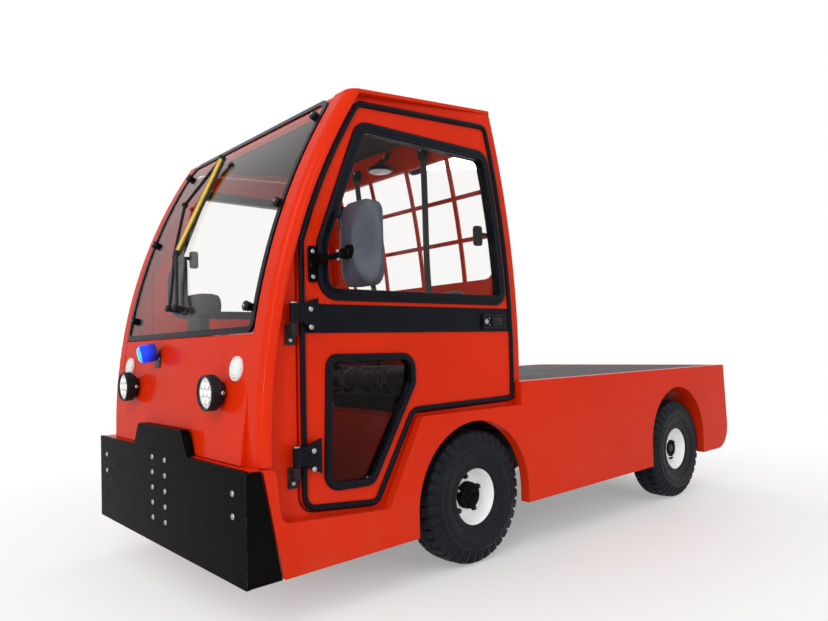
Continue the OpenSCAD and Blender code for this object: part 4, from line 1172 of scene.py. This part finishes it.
seat_pads()


# Camera, floor and light

def aim_camera(place, yaw, pitch, roll):
    """The view runs along the yaw turned up by the pitch; right and up are turned about it by the roll."""
    view = np.array([math.cos(yaw) * math.cos(pitch), math.sin(yaw) * math.cos(pitch), math.sin(pitch)])
    right = unit(np.cross(view, (0, 0, 1)))
    up = np.cross(right, view)
    right, up = (math.cos(roll) * right + math.sin(roll) * up, math.cos(roll) * up - math.sin(roll) * right)
    data = bpy.data.cameras.new("photo_camera")
    data.sensor_width, data.lens = 36.0, 29.33
    data.shift_x, data.shift_y = 0.01147, 0.01944
    camera = placed("photo_camera", data)
    camera.matrix_world = Matrix([[right[i], up[i], -view[i], place[i]] for i in range(3)] + [[0, 0, 0, 1]])
    bpy.context.scene.camera = camera


aim_camera((2.6531, 2.5740, 0.8820), *np.radians([229.13, 1.76, -1.57]))


def seen_ray(tree):
    """1 on a ray from the camera, a reflection or a pane, and 0 on a ray that gathers light."""
    path = tree.nodes.new("ShaderNodeLightPath")
    seen = path.outputs["Is Camera Ray"]
    for ray in ("Is Glossy Ray", "Is Transmission Ray"):
        either = tree.nodes.new("ShaderNodeMath")
        either.operation = "MAXIMUM"
        tree.links.new(seen, either.inputs[0])
        tree.links.new(path.outputs[ray], either.inputs[1])
        seen = either.outputs[0]
    return seen


def pale_floor():
    """A flat sheet on the ground, 60 metres each way. Away from its middle, what the camera, a reflection or a pane
    sees of it fades to plain white."""
    f = Finish("studio_floor")
    f.set(Base_Color=f.ramp(f.noise(0.8, 2.0), (0.3, (0.90, 0.90, 0.90)), (0.7, (0.92, 0.92, 0.92))), Roughness=0.6,
          Specular_IOR_Level=0.2)
    reach = f.add("ShaderNodeVectorMath", {"operation": "LENGTH"}, {0: f.place}).outputs["Value"]
    fade = f.maths("MULTIPLY", f.span(reach, 1.0, 3.2, 0.3, 1.0), seen_ray(f.tree))
    white = f.add("ShaderNodeEmission", {}, {"Color": (1, 1, 1, 1), "Strength": 1.0}).outputs[0]
    mixed = f.add("ShaderNodeMixShader", {}, {0: fade, 1: f.shader.outputs[0], 2: white}).outputs[0]
    f.put(f.out, {"Surface": mixed})
    x, y = np.meshgrid(np.linspace(-30, 30, 5), np.linspace(-30, 30, 5), indexing="ij")
    mesh = bpy.data.meshes.new("floor")
    points = np.stack([x, y, 0 * x], -1)
    mesh.from_pydata(points.reshape(-1, 3).tolist(), [], grid_quads(5, 5, False, False).tolist())
    mesh.materials.append(f.material)
    placed("floor", mesh)


def soft_lamp(name, place, target, width, height, watts):
    """An oblong area lamp that faces its target."""
    data = bpy.data.lights.new(name, "AREA")
    data.shape, data.size, data.size_y, data.energy = "RECTANGLE", width, height, watts
    lamp = placed(name, data)
    away = unit(np.asarray(place, float) - target)
    side, up = square_to(away)
    lamp.matrix_world = Matrix([[side[i], up[i], away[i], place[i]] for i in range(3)] + [[0, 0, 0, 1]])


def white_world():
    """White where the camera, a reflection or a pane looks past the object, and a softer level for light."""
    world = bpy.data.worlds.new("studio")
    bpy.context.scene.world = world
    world.use_nodes = True
    tree = world.node_tree
    tree.nodes.clear()
    mixed, out = tree.nodes.new("ShaderNodeMixShader"), tree.nodes.new("ShaderNodeOutputWorld")
    tree.links.new(seen_ray(tree), mixed.inputs[0])
    for slot, strength in ((1, 0.72), (2, 1.0)):
        sky = tree.nodes.new("ShaderNodeBackground")
        sky.inputs["Color"].default_value = (1, 1, 1, 1)
        sky.inputs["Strength"].default_value = strength
        tree.links.new(sky.outputs[0], mixed.inputs[slot])
    tree.links.new(mixed.outputs[0], out.inputs[0])


pale_floor()
white_world()
soft_lamp("key", (5.5, 2.5, 5.0), (0.6, 0, 0.9), 3.0, 3.0, 90)
soft_lamp("strip", (5.2, 2.9, 1.9), (0.9, 0.5, 1.1), 0.22, 3.0, 45)
soft_lamp("side", (1.0, 6.5, 3.6), (0.3, 0, 0.6), 3.0, 3.0, 46)
soft_lamp("back", (-4.0, -5.0, 5.0), (0.0, 0, 0.6), 3.0, 3.0, 80)
bpy.context.scene.view_settings.view_transform = "Standard"
